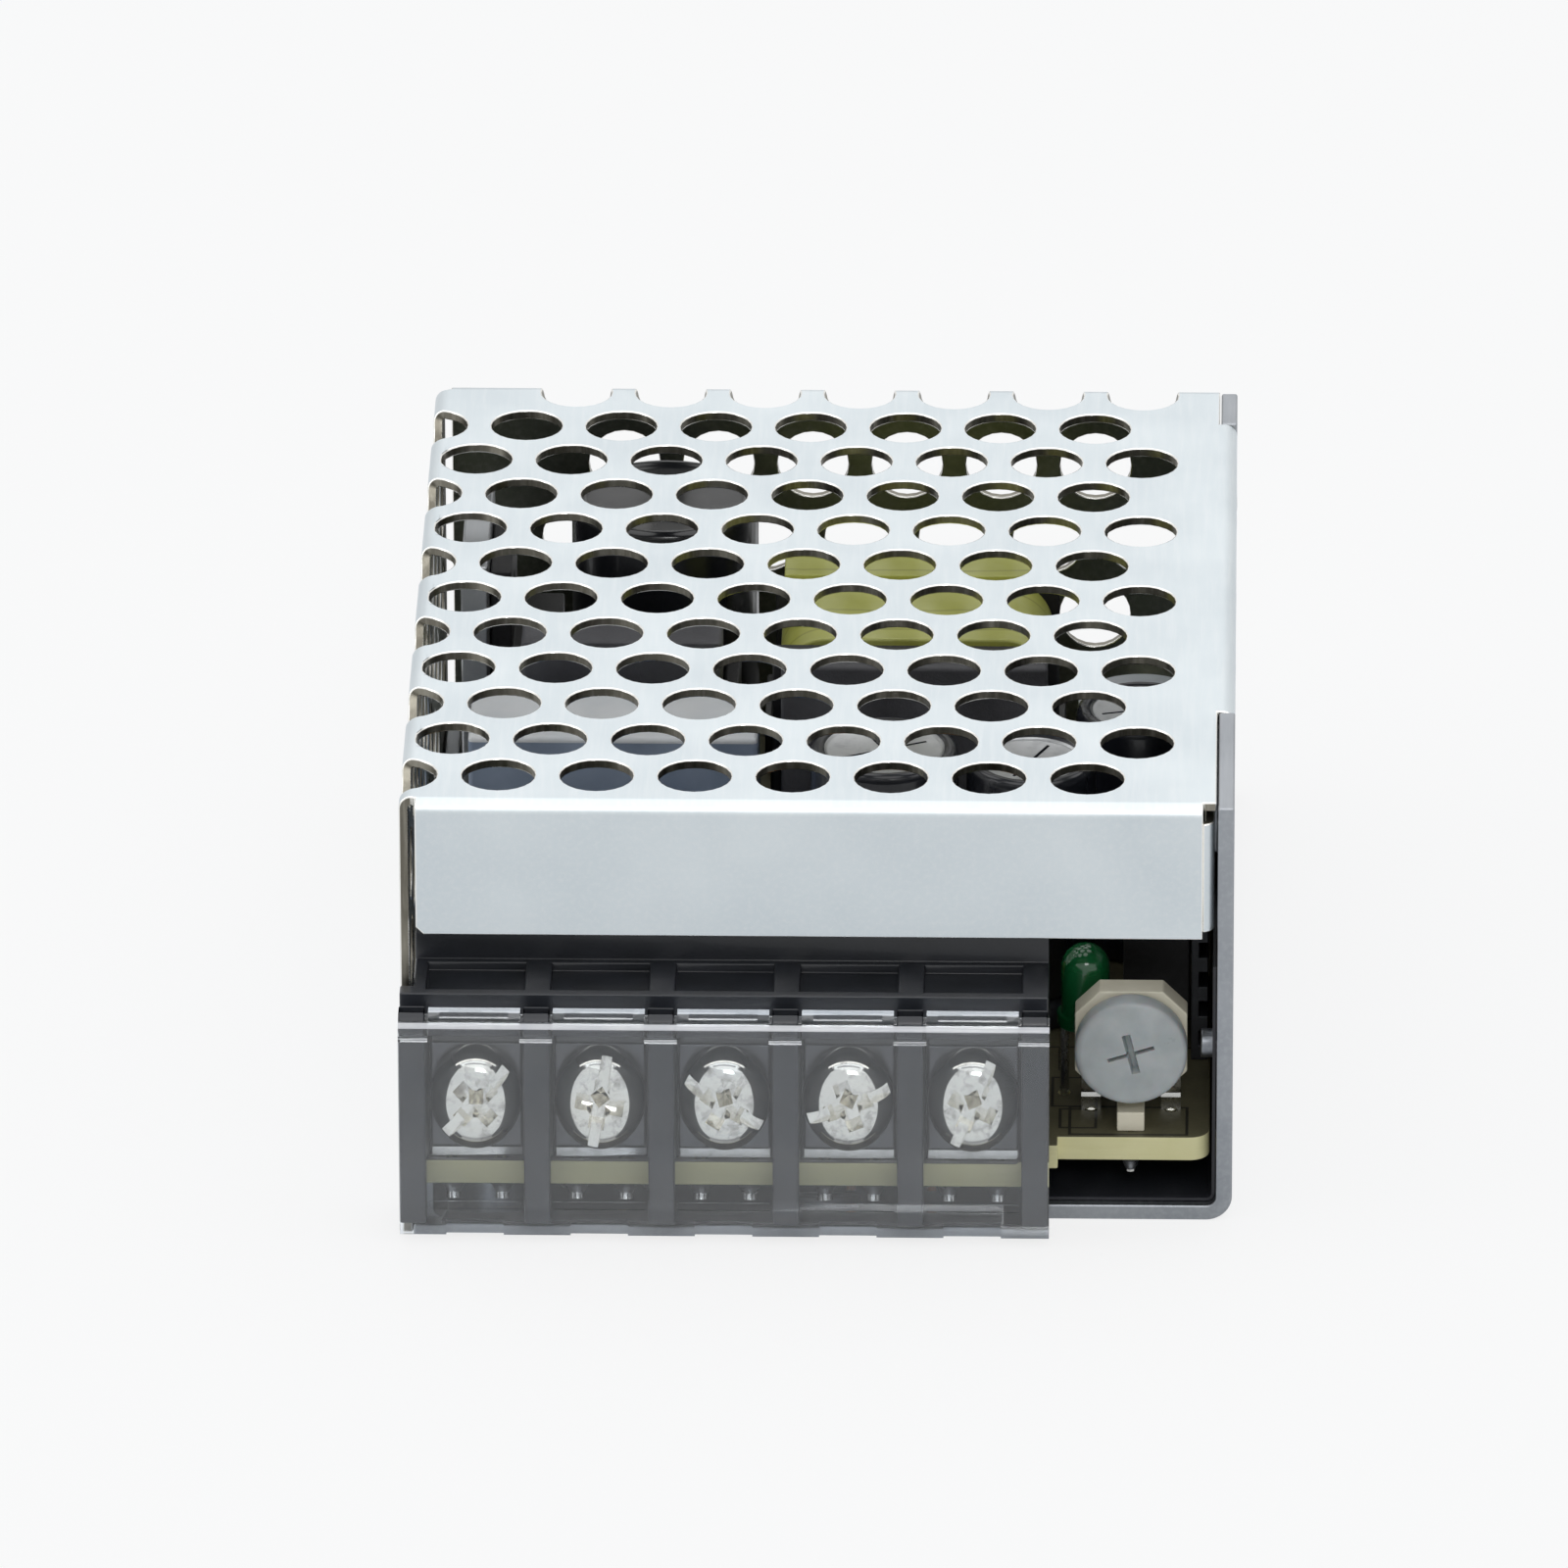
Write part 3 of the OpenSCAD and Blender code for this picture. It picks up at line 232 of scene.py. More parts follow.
def make_clear_moulding():
    """Clear polycarbonate: a faint smoky tint and hairline scuffs."""
    f = Finish("clear_moulding", Transmission_Weight=0.975, IOR=1.5)
    haze = f.clouds(2.5, 4, (0.2, 1, 1))
    f.feed("Base Color", f.blend(haze.between(0.3, 0.8), rgb(244, 247, 250), rgb(232, 237, 243)))
    f.feed("Roughness", haze.between(0.5, 0.9) * 0.05 + 0.01)
    return f.relief(f.clouds(3.0, 2, (0.5, 1, 1)), 0.01, 0.4)


def make_lens():
    f = Finish("green_lens", Transmission_Weight=0.35, IOR=1.5, Coat_Weight=0.6, Coat_Roughness=0.03)
    depth = f.clouds(1.4, 2)
    z = f.axis("Z")
    # the lens is painted brighter green towards its dome top: painted light from above
    painted_dome_light = z.between(10.5, 15.5)
    colour = f.blend(painted_dome_light, rgb(14, 92, 48), rgb(28, 128, 70))
    f.feed("Base Color", f.blend(depth.between(0.4, 0.8) * 0.5, colour, rgb(20, 104, 56)))
    f.feed("Roughness", 0.12 + depth * 0.08)
    return f.relief(depth, 0.01, 0.3)


def make_milky():
    f = Finish("grey_moulding", Subsurface_Weight=0.35, Subsurface_Scale=0.0006)
    swirl = f.clouds(1.6, 4)
    f.feed("Base Color", f.blend(swirl.between(0.35, 0.7), rgb(160, 166, 167), rgb(176, 181, 181)))
    f.feed("Roughness", 0.34 + (swirl - 0.5) * 0.3)
    return f.relief(f.clouds(0.4, 3), 0.01)


def make_tape():
    """Wound polyester tape: thin lapped layers, glossy, with darker seams."""
    f = Finish("yellow_tape", Coat_Weight=0.5, Coat_Roughness=0.15)
    z, y = f.axis("Z"), f.axis("Y")
    cloud = f.clouds(3, 3)
    laps = f.node("ShaderNodeMath", {"operation": "PINGPONG"}, {0: y + cloud * 0.6, 1: 1.4})
    seam = 1 - laps.between(0.0, 0.16)
    colour = f.blend(cloud.between(0.3, 0.7), rgb(204, 206, 96), rgb(220, 222, 126))
    f.feed("Base Color", f.blend(seam * 0.55, colour, rgb(146, 146, 62)))
    f.feed("Roughness", 0.28 + cloud * 0.15)
    return f.relief(laps + f.clouds(0.8, 2) * 0.5, 0.03, 0.8)


def make_boxed():
    """Film capacitor closed on top with white resin; its sides are painted slate blue-grey, a painted shade
    on the white box below its lit top.
    """
    f = Finish("white_box", Specular_IOR_Level=0.4)
    cloud, grain = f.clouds(3, 3), f.clouds(0.2, 3, rough=0.7)
    # slate blue-grey sides: painted shade on the white box
    case = f.blend(cloud.between(0.35, 0.7), rgb(152, 167, 190), rgb(168, 182, 204))
    lid = f.blend(cloud.between(0.35, 0.7), rgb(246, 248, 250), rgb(236, 240, 244))
    # white above the top edge, painted shade on the sides below it
    f.feed("Base Color", f.blend(f.axis("Z") > (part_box("line_capacitor")[1].z / MM - 0.35), case, lid))
    f.feed("Roughness", 0.4 + (grain - 0.5) * 0.18)
    return f.relief(grain, 0.008)


def make_sleeve(name, plain, shade):
    """Shrunk vinyl sleeve, glossy, with a slightly uneven pull."""
    f = Finish(name, Coat_Weight=0.4, Coat_Roughness=0.1)
    pull = f.clouds(2.2, 3, (1, 1, 0.3))
    f.feed("Base Color", f.blend(pull.between(0.3, 0.7), plain, shade))
    f.feed("Roughness", 0.3 + (pull - 0.5) * 0.2)
    return f.relief(pull, 0.02, 0.6)


def make_resistor():
    """Beige lacquered body with four generic colour rings."""
    f = Finish("resistor_coat", Coat_Weight=0.3, Coat_Roughness=0.2)
    x = f.axis("X")
    cloud = f.clouds(0.8, 3)
    colour = f.blend(cloud.between(0.3, 0.7), rgb(186, 160, 118), rgb(202, 178, 136))
    ring = f.node("ShaderNodeMath", {"operation": "PINGPONG"}, {0: x, 1: 0.62})
    f.feed("Base Color", f.blend(ring.between(0.42, 0.46), colour, rgb(92, 58, 40)))
    f.feed("Roughness", 0.35 + (cloud - 0.5) * 0.2)
    return f.relief(cloud, 0.01)


cover_metal = rolled_metal("cover_metal", rgb(222, 229, 232), rgb(214, 222, 226), rgb(234, 237, 238), 0.4,
                           worn=0.0)
# inner face of the cover sheet: a darker copy of the outer metal, painted shade
shaded_cover_inside = rolled_metal("shaded_cover_inside", rgb(142, 145, 136), rgb(118, 122, 108), rgb(168, 170, 160), 0.42,
                            worn=0.0)
cover_cut = rolled_metal("cover_cut_edge", rgb(150, 146, 134), rgb(112, 108, 98), rgb(196, 192, 180), 0.34,
                         grain=(1, 1, 0.1), worn=0.0)
cover_bright = plated("cover_bright_edge", rgb(250, 249, 244), rgb(232, 231, 224), 0.22)
chassis_metal = rolled_metal("chassis_metal", rgb(154, 158, 164), rgb(130, 135, 142), rgb(188, 191, 194),
                             0.4, grain=(1, 0.05, 1), worn=0.4)
plated_steel = plated("plated_steel", rgb(236, 233, 224), rgb(150, 144, 136), 0.09, 0.2)
washer_steel = plated("washer_steel", rgb(214, 214, 211), rgb(168, 166, 162), 0.2)
dark_washer = plated("dark_washer", rgb(86, 86, 88), rgb(62, 61, 62), 0.2)
tinned_wire = plated("tinned_wire", rgb(214, 214, 210), rgb(160, 160, 156), 0.24)
vented_aluminium = plated("vented_aluminium", rgb(206, 208, 210), rgb(178, 180, 184), 0.3)
black_film = moulded("black_film", rgb(30, 31, 38), rgb(22, 23, 28), 0.42, 0.01, 1.0)
board = make_board()
black_moulding = moulded("black_moulding", rgb(37, 40, 47), rgb(29, 32, 37), 0.34, 0.008, 0.5, 0.15)
clear_moulding = make_clear_moulding()
# pale, partly opaque finish for the shield's narrow faces: a painted highlight for the light gathered in the
# clear plastic
clear_painted_highlight = moulded("clear_painted_highlight", rgb(248, 249, 252), rgb(228, 230, 238), 0.22, 0.004, 0.4, 0.5)
clear_painted_highlight.surface.inputs["Transmission Weight"].default_value = 0.35
green_lens = make_lens()
cream_moulding = moulded("cream_moulding", rgb(226, 220, 200), rgb(210, 202, 180), 0.45, 0.01)
grey_moulding = make_milky()
black_epoxy = moulded("black_epoxy", rgb(36, 36, 38), rgb(28, 28, 30), 0.5, 0.02, 0.4)
green_epoxy = moulded("green_epoxy", rgb(48, 78, 58), rgb(38, 62, 46), 0.6, 0.03, 0.4)
orange_epoxy = moulded("orange_epoxy", rgb(200, 132, 50), rgb(178, 112, 40), 0.3, 0.02, 0.6, 0.3)
blue_epoxy = moulded("blue_epoxy", rgb(60, 108, 172), rgb(48, 92, 150), 0.32, 0.02, 0.6, 0.3)
brown_epoxy = moulded("brown_epoxy", rgb(140, 104, 58), rgb(118, 86, 46), 0.32, 0.02, 0.6, 0.3)
white_box = moulded("white_box", rgb(228, 233, 238), rgb(216, 223, 230), 0.4, 0.008, 0.6)
boxed_film = make_boxed()
ferrite = moulded("ferrite", rgb(92, 92, 96), rgb(74, 74, 78), 0.55, 0.03, 0.5, worn=0.4)
yellow_tape = make_tape()
sleeve = make_sleeve("sleeve", rgb(40, 42, 50), rgb(30, 32, 38))
black_sleeve = make_sleeve("black_sleeve", rgb(32, 33, 38), rgb(24, 25, 28))
sink_metal = rolled_metal("sink_metal", rgb(180, 184, 188), rgb(160, 165, 170), rgb(206, 208, 210), 0.42)
dark_sink = moulded("dark_sink", rgb(76, 78, 82), rgb(62, 64, 68), 0.42, 0.01, 0.4, metallic=0.6)
resistor_coat = make_resistor()
solder = plated("solder", rgb(196, 198, 200), rgb(150, 152, 154), 0.28, 0.2)


# ---------------------------------------------------------------- making pieces

def drop(obj):
    """Removes a helper object."""
    bpy.data.objects.remove(obj, do_unlink=True)


def hold(obj, body, stands_for):
    """Fixes a piece to its body, and hides the imported nodes it stands for."""
    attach(obj, body)
    if stands_for:
        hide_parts(*stands_for)
    return obj


def piece(name, bm, finishes, body="case", stands_for=(), crease=38, ride=True):
    """A piece from a mesh in mm, measured from the front edge of the case."""
    bm.normal_update()
    mesh = bpy.data.meshes.new(name)
    bm.to_mesh(mesh)
    bm.free()
    mesh.transform(TO_FRAME)
    for finish in finishes:
        mesh.materials.append(finish.material)
    mesh.shade_smooth()
    mesh.set_sharp_from_angle(angle=math.radians(crease))
    obj = bpy.data.objects.new(name, mesh)
    bpy.context.scene.collection.objects.link(obj)
    return hold(obj, body, stands_for) if ride else obj


def settle(obj):
    """Keeps what the modifiers make as the piece's own mesh."""
    made = bpy.data.meshes.new_from_object(obj.evaluated_get(bpy.context.evaluated_depsgraph_get()))
    old, name = obj.data, obj.data.name
    obj.modifiers.clear()
    obj.data = made
    bpy.data.meshes.remove(old)
    made.name = name
    return obj


def soften(obj, width, segments=2, angle=40, weighted=False):
    """Rounds the sharp edges of a piece, width in mm."""
    edge = obj.modifiers.new("soft_edges", "BEVEL")
    edge.width = width * MM
    edge.segments = segments
    edge.limit_method = "WEIGHT" if weighted else "ANGLE"
    edge.angle_limit = math.radians(angle)
    edge.harden_normals = True
    edge.use_clamp_overlap = not weighted
    return obj


def carve(obj, *cutters):
    """Cuts closed meshes, in mm in the piece's own layout, out of a piece."""
    tools = []
    for number, bm in enumerate(cutters):
        tool = piece(f"{obj.name}_cut{number}", bm, [], ride=False)
        tool.hide_render = True
        cut = obj.modifiers.new(tool.name, "BOOLEAN")
        cut.operation, cut.solver, cut.object = "DIFFERENCE", "EXACT", tool
        tools.append(tool)
    settle(obj)
    for tool in tools:
        drop(tool)
    return obj


def finished_solid(node, finish, width=0.12, segments=2, body="case", name=None, where=None,
                   crease=38):
    """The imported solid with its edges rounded; where(middle, mm) says which edges are."""
    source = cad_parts[node]
    bm = bmesh.new()
    bm.from_mesh(source.data)
    bmesh.ops.remove_doubles(bm, verts=bm.verts, dist=3e-6)
    bmesh.ops.dissolve_limit(bm, angle_limit=math.radians(0.8), verts=bm.verts, edges=bm.edges)
    weight = bm.edges.layers.float.new("bevel_weight_edge")
    back = TO_FRAME.inverted()
    for edge in bm.edges:
        if len(edge.link_faces) != 2 or edge.calc_face_angle(0) < math.radians(crease):
            continue
        spot = back @ ((edge.verts[0].co + edge.verts[1].co) / 2)
        if where is None or where(spot):
            edge[weight] = 1.0
    bm.normal_update()
    mesh = bpy.data.meshes.new(name or node + "_finished")
    bm.to_mesh(mesh)
    bm.free()
    mesh.materials.append(finish.material)
    mesh.shade_smooth()
    mesh.set_sharp_from_angle(angle=math.radians(crease))
    obj = bpy.data.objects.new(name or node + "_finished", mesh)
    bpy.context.scene.collection.objects.link(obj)
    if width:
        soften(obj, width, segments, weighted=True)
    return hold(obj, body, (node,))


def box_into(bm, low, high, material=0):
    """Adds a closed box between two corners."""
    v = [bm.verts.new((x, y, z)) for x in (low[0], high[0]) for y in (low[1], high[1])
         for z in (low[2], high[2])]
    for ids in ((0, 1, 3, 2), (4, 6, 7, 5), (0, 4, 5, 1), (2, 3, 7, 6), (0, 2, 6, 4), (1, 5, 7, 3)):
        bm.faces.new([v[i] for i in ids]).material_index = material
    return v


def taper_into(bm, low, high, z0, z1, shrink):
    """Adds a box from z0 up to z1 whose lower end is smaller by shrink."""
    v = box_into(bm, (low[0], low[1], z0), (high[0], high[1], z1))
    cx, cy = (low[0] + high[0]) / 2, (low[1] + high[1]) / 2
    for vert in v:
        if vert.co.z < (z0 + z1) / 2:
            vert.co.x = cx + (vert.co.x - cx) * shrink[0]
            vert.co.y = cy + (vert.co.y - cy) * shrink[1]
    return v


def turned_into(bm, profile, steps=32, centre=(0, 0, 0), materials=None, turn=None):
    """Adds a turned form: profile is (radius, height) from bottom to top, closed at its ends."""
    made, rings = [], []
    for r, z in profile:
        if r < 1e-6:
            rings.append([bm.verts.new((0, 0, z))])
        else:
            rings.append([bm.verts.new((r * math.cos(2 * math.pi * k / steps),
                                        r * math.sin(2 * math.pi * k / steps), z))
                          for k in range(steps)])
        made += rings[-1]
    for level in range(len(rings) - 1):
        a, b = rings[level], rings[level + 1]
        for k in range(steps):
            n = (k + 1) % steps
            loop = [a[k % len(a)], a[n % len(a)], b[n % len(b)], b[k % len(b)]]
            corner = list(dict.fromkeys(loop))
            if len(corner) > 2:
                face = bm.faces.new(corner)
                face.material_index = materials[level] if materials else 0
    for ring, flip in ((rings[0], True), (rings[-1], False)):
        if len(ring) > 1:
            bm.faces.new(ring[::-1] if flip else ring)
    if turn is not None:
        bmesh.ops.transform(bm, matrix=turn, verts=made)
    bmesh.ops.translate(bm, vec=centre, verts=made)
    return made


FACING = Matrix.Rotation(math.radians(90), 4, "X")      # turns +Z to face the front


# ---------------------------------------------------------------- perforated cover

PITCH = 6.0
ROW = PITCH * math.sqrt(3) / 2
HOLE = 2.25
FIRST_ROW = 4.2
FOLD = 0.8
# length of the flat strip that becomes each fold
LEFT_BEND, BACK_BEND, FRONT_BEND, RIGHT_BEND = 2 * FOLD, 0.456, 2 * FOLD, 2 * FOLD
ROWS = 11
TOP_LEFT, TOP_RIGHT = LEFT + FOLD, RIGHT - 1.1
FLANGE = (LEFT + 1.0, 23.6)                     # ends of the front flange
FLANGE_DROP = 8.1                               # flat length of the front flange below its fold
SIDE_DROP = 7.2                                 # the same for the right flange
SIDE_FLANGE = (14.0, 57.0)                      # its front and back ends
SOLID_BELOW = 6.9                               # no hole reaches lower than this on the walls
MARGIN = 3.5                                    # plain strip along the right edge of the top
CORNERS = 24                                    # corners of a punched hole


def has_hole(row, x):
    """Says which places of the staggered pattern are punched, on the flat sheet."""
    y = FIRST_ROW + ROW * row
    if y > LENGTH - FOLD - 1.0 and x < LEFT + 8:
        return False
    if x < LEFT - 1:
        height = HEIGHT + 3 * (row % 2) - (LEFT + 3 * (row % 2) - x)
        return 0 <= row < ROWS and height - HOLE >= SOLID_BELOW
    if y > LENGTH:
        height = LENGTH + 26.86 - y
        return height - HOLE > SOLID_BELOW and LEFT + 5 < x and x + HOLE <= RIGHT - MARGIN
    return 0 <= row <= ROWS and x + HOLE <= RIGHT - MARGIN


def flat_sheet():
    """The punched sheet before folding: hexagonal cells, each with a hole or blank."""
    bm = bmesh.new()
    corners = []
    step = 360 / CORNERS
    for j in range(CORNERS):
        angle = math.radians(step * j)
        reach = (PITCH / 2) / math.cos((angle + math.pi / 6) % (math.pi / 3) - math.pi / 6)
        corners.append((reach * math.cos(angle), reach * math.sin(angle)))
    rim = [(HOLE * math.cos(math.radians(step * j)), HOLE * math.sin(math.radians(step * j)))
           for j in range(CORNERS)]
    for row in range(-4, 19):
        shift = 3.0 * (row % 2)
        for c in range(-7, 12):
            x, y = LEFT + shift + PITCH * c, FIRST_ROW + ROW * row
            outer = [bm.verts.new((x + p[0], y + p[1], 0)) for p in corners]
            if has_hole(row, x):
                inner = [bm.verts.new((x + p[0], y + p[1], 0)) for p in rim]
                for j in range(CORNERS):
                    n = (j + 1) % CORNERS
                    bm.faces.new((outer[j], outer[n], inner[n], inner[j]))
            else:
                bm.faces.new(outer)
    bmesh.ops.remove_doubles(bm, verts=bm.verts, dist=1e-3)
    return bm


def scored(start, length, steps=6):
    return [start + length * i / steps for i in range(steps + 1)]


def cut_out(bm):
    """Scores the flat sheet along folds and edges, and keeps the top and its four flanges."""
    edge_left = TOP_LEFT - LEFT_BEND - (HEIGHT - FOLD - 0.4)
    edge_right = RIGHT - FOLD + RIGHT_BEND + SIDE_DROP
    edge_front, edge_back = FOLD - FRONT_BEND - FLANGE_DROP, LENGTH + 26.856 - 1.3
    lines = (sorted([edge_left, FLANGE[0], FLANGE[1], TOP_RIGHT, edge_right]
                    + scored(TOP_LEFT, -LEFT_BEND) + scored(RIGHT - FOLD, RIGHT_BEND)),
             sorted([edge_front, 0.9, *SIDE_FLANGE, LENGTH - FOLD - 0.1, edge_back]
                    + scored(FOLD, -FRONT_BEND) + scored(LENGTH - FOLD, BACK_BEND, 4)))
    for axis in (0, 1):
        for vert in bm.verts:
            near = min(lines[axis], key=lambda at: abs(at - vert.co[axis]))
            if abs(near - vert.co[axis]) < 0.05:
                vert.co[axis] = near
        for at in lines[axis]:
            spot, normal = [0, 0, 0], [0, 0, 0]
            spot[axis], normal[axis] = at, 1
            bmesh.ops.bisect_plane(bm, geom=bm.verts[:] + bm.edges[:] + bm.faces[:], dist=1e-4,
                                   plane_co=spot, plane_no=normal)
    bmesh.ops.remove_doubles(bm, verts=bm.verts, dist=2e-3)
    kept = ((TOP_LEFT, TOP_RIGHT, FOLD, LENGTH - FOLD), (edge_left, TOP_LEFT, 0.9, LENGTH - FOLD - 0.1),
            (*FLANGE, edge_front, FOLD), (FLANGE[0], TOP_RIGHT, LENGTH - FOLD, edge_back),
            (TOP_RIGHT, edge_right, *SIDE_FLANGE))
    spare = []
    for face in bm.faces:
        x, y, _ = face.calc_center_median()
        if not any(a < x < b and c < y < d for a, b, c, d in kept):
            spare.append(face)
    bmesh.ops.delete(bm, geom=spare, context="FACES")
    return bm


def folded(p):
    """Where a point of the flat sheet goes when the four flanges are folded down."""
    x, y, top = p.x, p.y, HEIGHT

    def bend(past, length):
        """Distance gone outwards and downwards for a point past the start of a fold."""
        if past <= length:
            turn = past / length * math.pi / 2
            return FOLD * math.sin(turn), FOLD - FOLD * math.cos(turn)
        return FOLD, FOLD + past - length

    if x < LEFT + FOLD - 1e-6:
        out, down = bend(LEFT + FOLD - x, LEFT_BEND)
        return Vector((LEFT + FOLD - out, y, top - down))
    if x > RIGHT - FOLD + 1e-6:
        out, down = bend(x - RIGHT + FOLD, RIGHT_BEND)
        return Vector((RIGHT - FOLD + out, y, top - down))
    if y < FOLD - 1e-6:
        out, down = bend(FOLD - y, FRONT_BEND)
        return Vector((x, FOLD - out, top - down))
    if y > LENGTH - FOLD + 1e-6:
        out, down = bend(y - LENGTH + FOLD, BACK_BEND)
        return Vector((x, LENGTH - FOLD + out, top - down))
    return Vector((x, y, top))


def make_cover():
    whole = cut_out(flat_sheet())
    # lower corners of the front flange are clipped
    for sign, end in ((-1, FLANGE[0]), (1, FLANGE[1])):
        low = FOLD - FRONT_BEND - FLANGE_DROP
        spot = Vector((end, low + 0.5, 0))
        near = [f for f in whole.faces if f.calc_center_median().y < low + 3]
        bmesh.ops.bisect_plane(whole, geom=list({g for f in near for g in (*f.verts, *f.edges, f)}),
                               dist=1e-5, plane_co=spot, plane_no=Vector((sign, -1, 0)), clear_outer=True)
    for vert in whole.verts:
        vert.co = folded(vert.co)
    # tab at the right end of the flange, folded back inside the wall
    x, r, low, high = FLANGE[1], 0.7, 19.6, 26.9
    path = [(x + r * math.sin(a), r - r * math.cos(a)) for a in
            [math.radians(15 * k) for k in range(7)]] + [(x + r, r + 4.4)]
    columns = [[whole.verts.new((px, py, z)) for z in (low, high)] for px, py in path]
    for a, b in zip(columns, columns[1:]):
        whole.faces.new((a[0], b[0], b[1], a[1]))
    bmesh.ops.recalc_face_normals(whole, faces=whole.faces)
    if sum(f.normal.z * f.calc_area() for f in whole.faces) < 0:
        bmesh.ops.reverse_faces(whole, faces=whole.faces)
    obj = piece("perforated_cover", whole, [cover_metal, shaded_cover_inside, cover_cut, cover_bright], crease=30,
                ride=False)
    thick = obj.modifiers.new("thickness", "SOLIDIFY")
    thick.thickness, thick.offset, thick.use_even_offset = SHEET * MM, -1, True
    # the inner face takes the darker copy of the metal (painted shade), the hole walls the cut edge finish
    thick.material_offset, thick.material_offset_rim = 1, 2
    settle(obj)
    cutters = []
    for side, y, z in SCREW_SPOTS:
        bm = bmesh.new()
        turned_into(bm, [(2.75, 0.15), (2.75, -0.01), (2.0, -0.9)][::-1], 32,
                    (LEFT if side < 0 else RIGHT, y, z),
                    turn=Matrix.Rotation(math.radians(90 * side), 4, "Y"))
        cutters.append(bm)
    carve(obj, *cutters)
    sliver = 0.012 * MM
    bm = bmesh.new()
    bm.from_mesh(obj.data)
    bmesh.ops.remove_doubles(bm, verts=bm.verts, dist=sliver)
    bmesh.ops.dissolve_degenerate(bm, edges=bm.edges, dist=sliver)
    bm.to_mesh(obj.data)
    bm.free()
    obj.data.shade_smooth()
    obj.data.set_sharp_from_angle(angle=math.radians(50))
    rim = soften(obj, 0.08, 2, 50)
    rim.modifiers["soft_edges"].material = 3
    rim.modifiers["soft_edges"].harden_normals = False
    rim.modifiers["soft_edges"].use_clamp_overlap = False
    level = obj.modifiers.new("level_faces", "WEIGHTED_NORMAL")
    level.keep_sharp, level.weight = True, 100
    return hold(obj, "case", ("mesh_cover",))


# side, Y and Z of each countersunk screw
SCREW_SPOTS = [(-1, 12, 4.3), (-1, 50, 4.3), (1, 24, 23.7), (1, 47, 23.7)]
make_cover()


# ---------------------------------------------------------------- chassis and fasteners

finished_solid("chassis", chassis_metal, 0.14, 2)
finished_solid("cover_screws", plated_steel, 0.05, 2)
finished_solid("insulating_sheet", black_film, 0.0)
finished_solid("circuit_board", board, 0.1, 2, crease=60)


def cross_recess(z, reach, width, depth):
    """The two tapered blades of a cross, cut from height z down."""
    blades = []
    for a in (0, 90):
        bm = bmesh.new()
        v = taper_into(bm, (-reach, -width / 2), (reach, width / 2), z - depth, z + 1.0, (0.62, 0.7))
        bmesh.ops.rotate(bm, verts=v, cent=(0, 0, 0), matrix=Matrix.Rotation(math.radians(a), 3, "Z"))
        blades.append(bm)
    return blades


def pan_profile(shank, head, height, length, pitch=0.5):
    """Threaded shank below a domed pan head; the underside of the head is at 0."""
    ring, z = [(0, -length), (shank - 0.3, -length), (shank, -length + 0.3)], -length + 0.3
    while z < -0.9:
        ring += [(shank - 0.17, z + pitch * 0.45), (shank - 0.17, z + pitch * 0.55), (shank, z + pitch)]
        z += pitch
    ring += [(shank - 0.05, 0), (head - 0.12, 0), (head, 0.14), (head, height * 0.34),
             (head * 0.975, height * 0.52), (head * 0.915, height * 0.68), (head * 0.83, height * 0.82),
             (head * 0.72, height * 0.92), (head * 0.58, height * 0.975), (head * 0.42, height), (0, height)]
    return ring


def make_board_screws():
    low, high = (corner / MM - Vector((0, FRONT, 0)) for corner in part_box("board_screws"))
    spots = [(low.x + 2.7, low.y + 2.7), (low.x + 2.7, high.y - 2.7), (high.x - 2.7, high.y - 2.7)]
    whole = bmesh.new()
    for number, (x, y) in enumerate(spots):
        bm = bmesh.new()
        turned_into(bm, pan_profile(1.45, 2.7, 1.9, 3.9), 36)
        head = piece("screw_blank", bm, [plated_steel], ride=False)
        carve(head, *cross_recess(1.9, 1.55, 0.8, 1.1))
        head.data.transform(TO_FRAME.inverted())
        turn = Matrix.Translation((x, y, BOARD_TOP)) @ Matrix.Rotation(0.5 * number, 4, "Z")
        head.data.transform(turn)
        whole.from_mesh(head.data)
        drop(head)
    obj = piece("board_pan_screws", whole, [plated_steel],
                stands_for=("board_screws",))
    return soften(obj, 0.05, 2, 45)


make_board_screws()


# ---------------------------------------------------------------- terminals

finished_solid("terminal_block", black_moulding, 0.1, 2)
finished_solid("terminal_plates", washer_steel, 0.06, 2, where=lambda p: p.z > BOARD_TOP + 0.5)

SLOT_TURNS = [45, 80, -30, 20, 65]              # how far each terminal screw is turned


def cell_middle(i):
    return LEFT + 0.8 + CELL * i + CELL / 2


def make_terminal_screw(i):
    """Pan head with a driver slot through a deep cross."""
    bm = bmesh.new()
    turned_into(bm, pan_profile(1.45, 2.8, 2.1, 4.6), 48)
    name = f"terminal_screw_{i + 1}_head"
    head = piece(name, bm, [plated_steel], ride=False)
    slot, point = bmesh.new(), bmesh.new()
    taper_into(slot, (-3.4, -0.42), (3.4, 0.42), 1.25, 3.2, (1.0, 0.75))
    turned_into(point, [(0, -0.3), (1.15, 1.2), (1.15, 3.0)], 4)
    carve(head, *cross_recess(2.1, 1.75, 1.1, 1.6), slot, point)
    head.data.transform(TO_FRAME.inverted())
    head.data.transform(Matrix.Translation((cell_middle(i), 0.8, 8.9)) @ FACING
                        @ Matrix.Rotation(math.radians(SLOT_TURNS[i]), 4, "Z"))
    head.data.transform(TO_FRAME)
    head.data.shade_smooth()
    head.data.set_sharp_from_angle(angle=math.radians(35))
    soften(head, 0.06, 2, 40)
    return hold(head, f"screw_{i + 1}", (f"terminal_screw_{i + 1}",))


for cell in range(5):
    make_terminal_screw(cell)
    finished_solid(f"terminal_washer_{cell + 1}", dark_washer, 0.14, 3, body=f"washer_{cell + 1}")


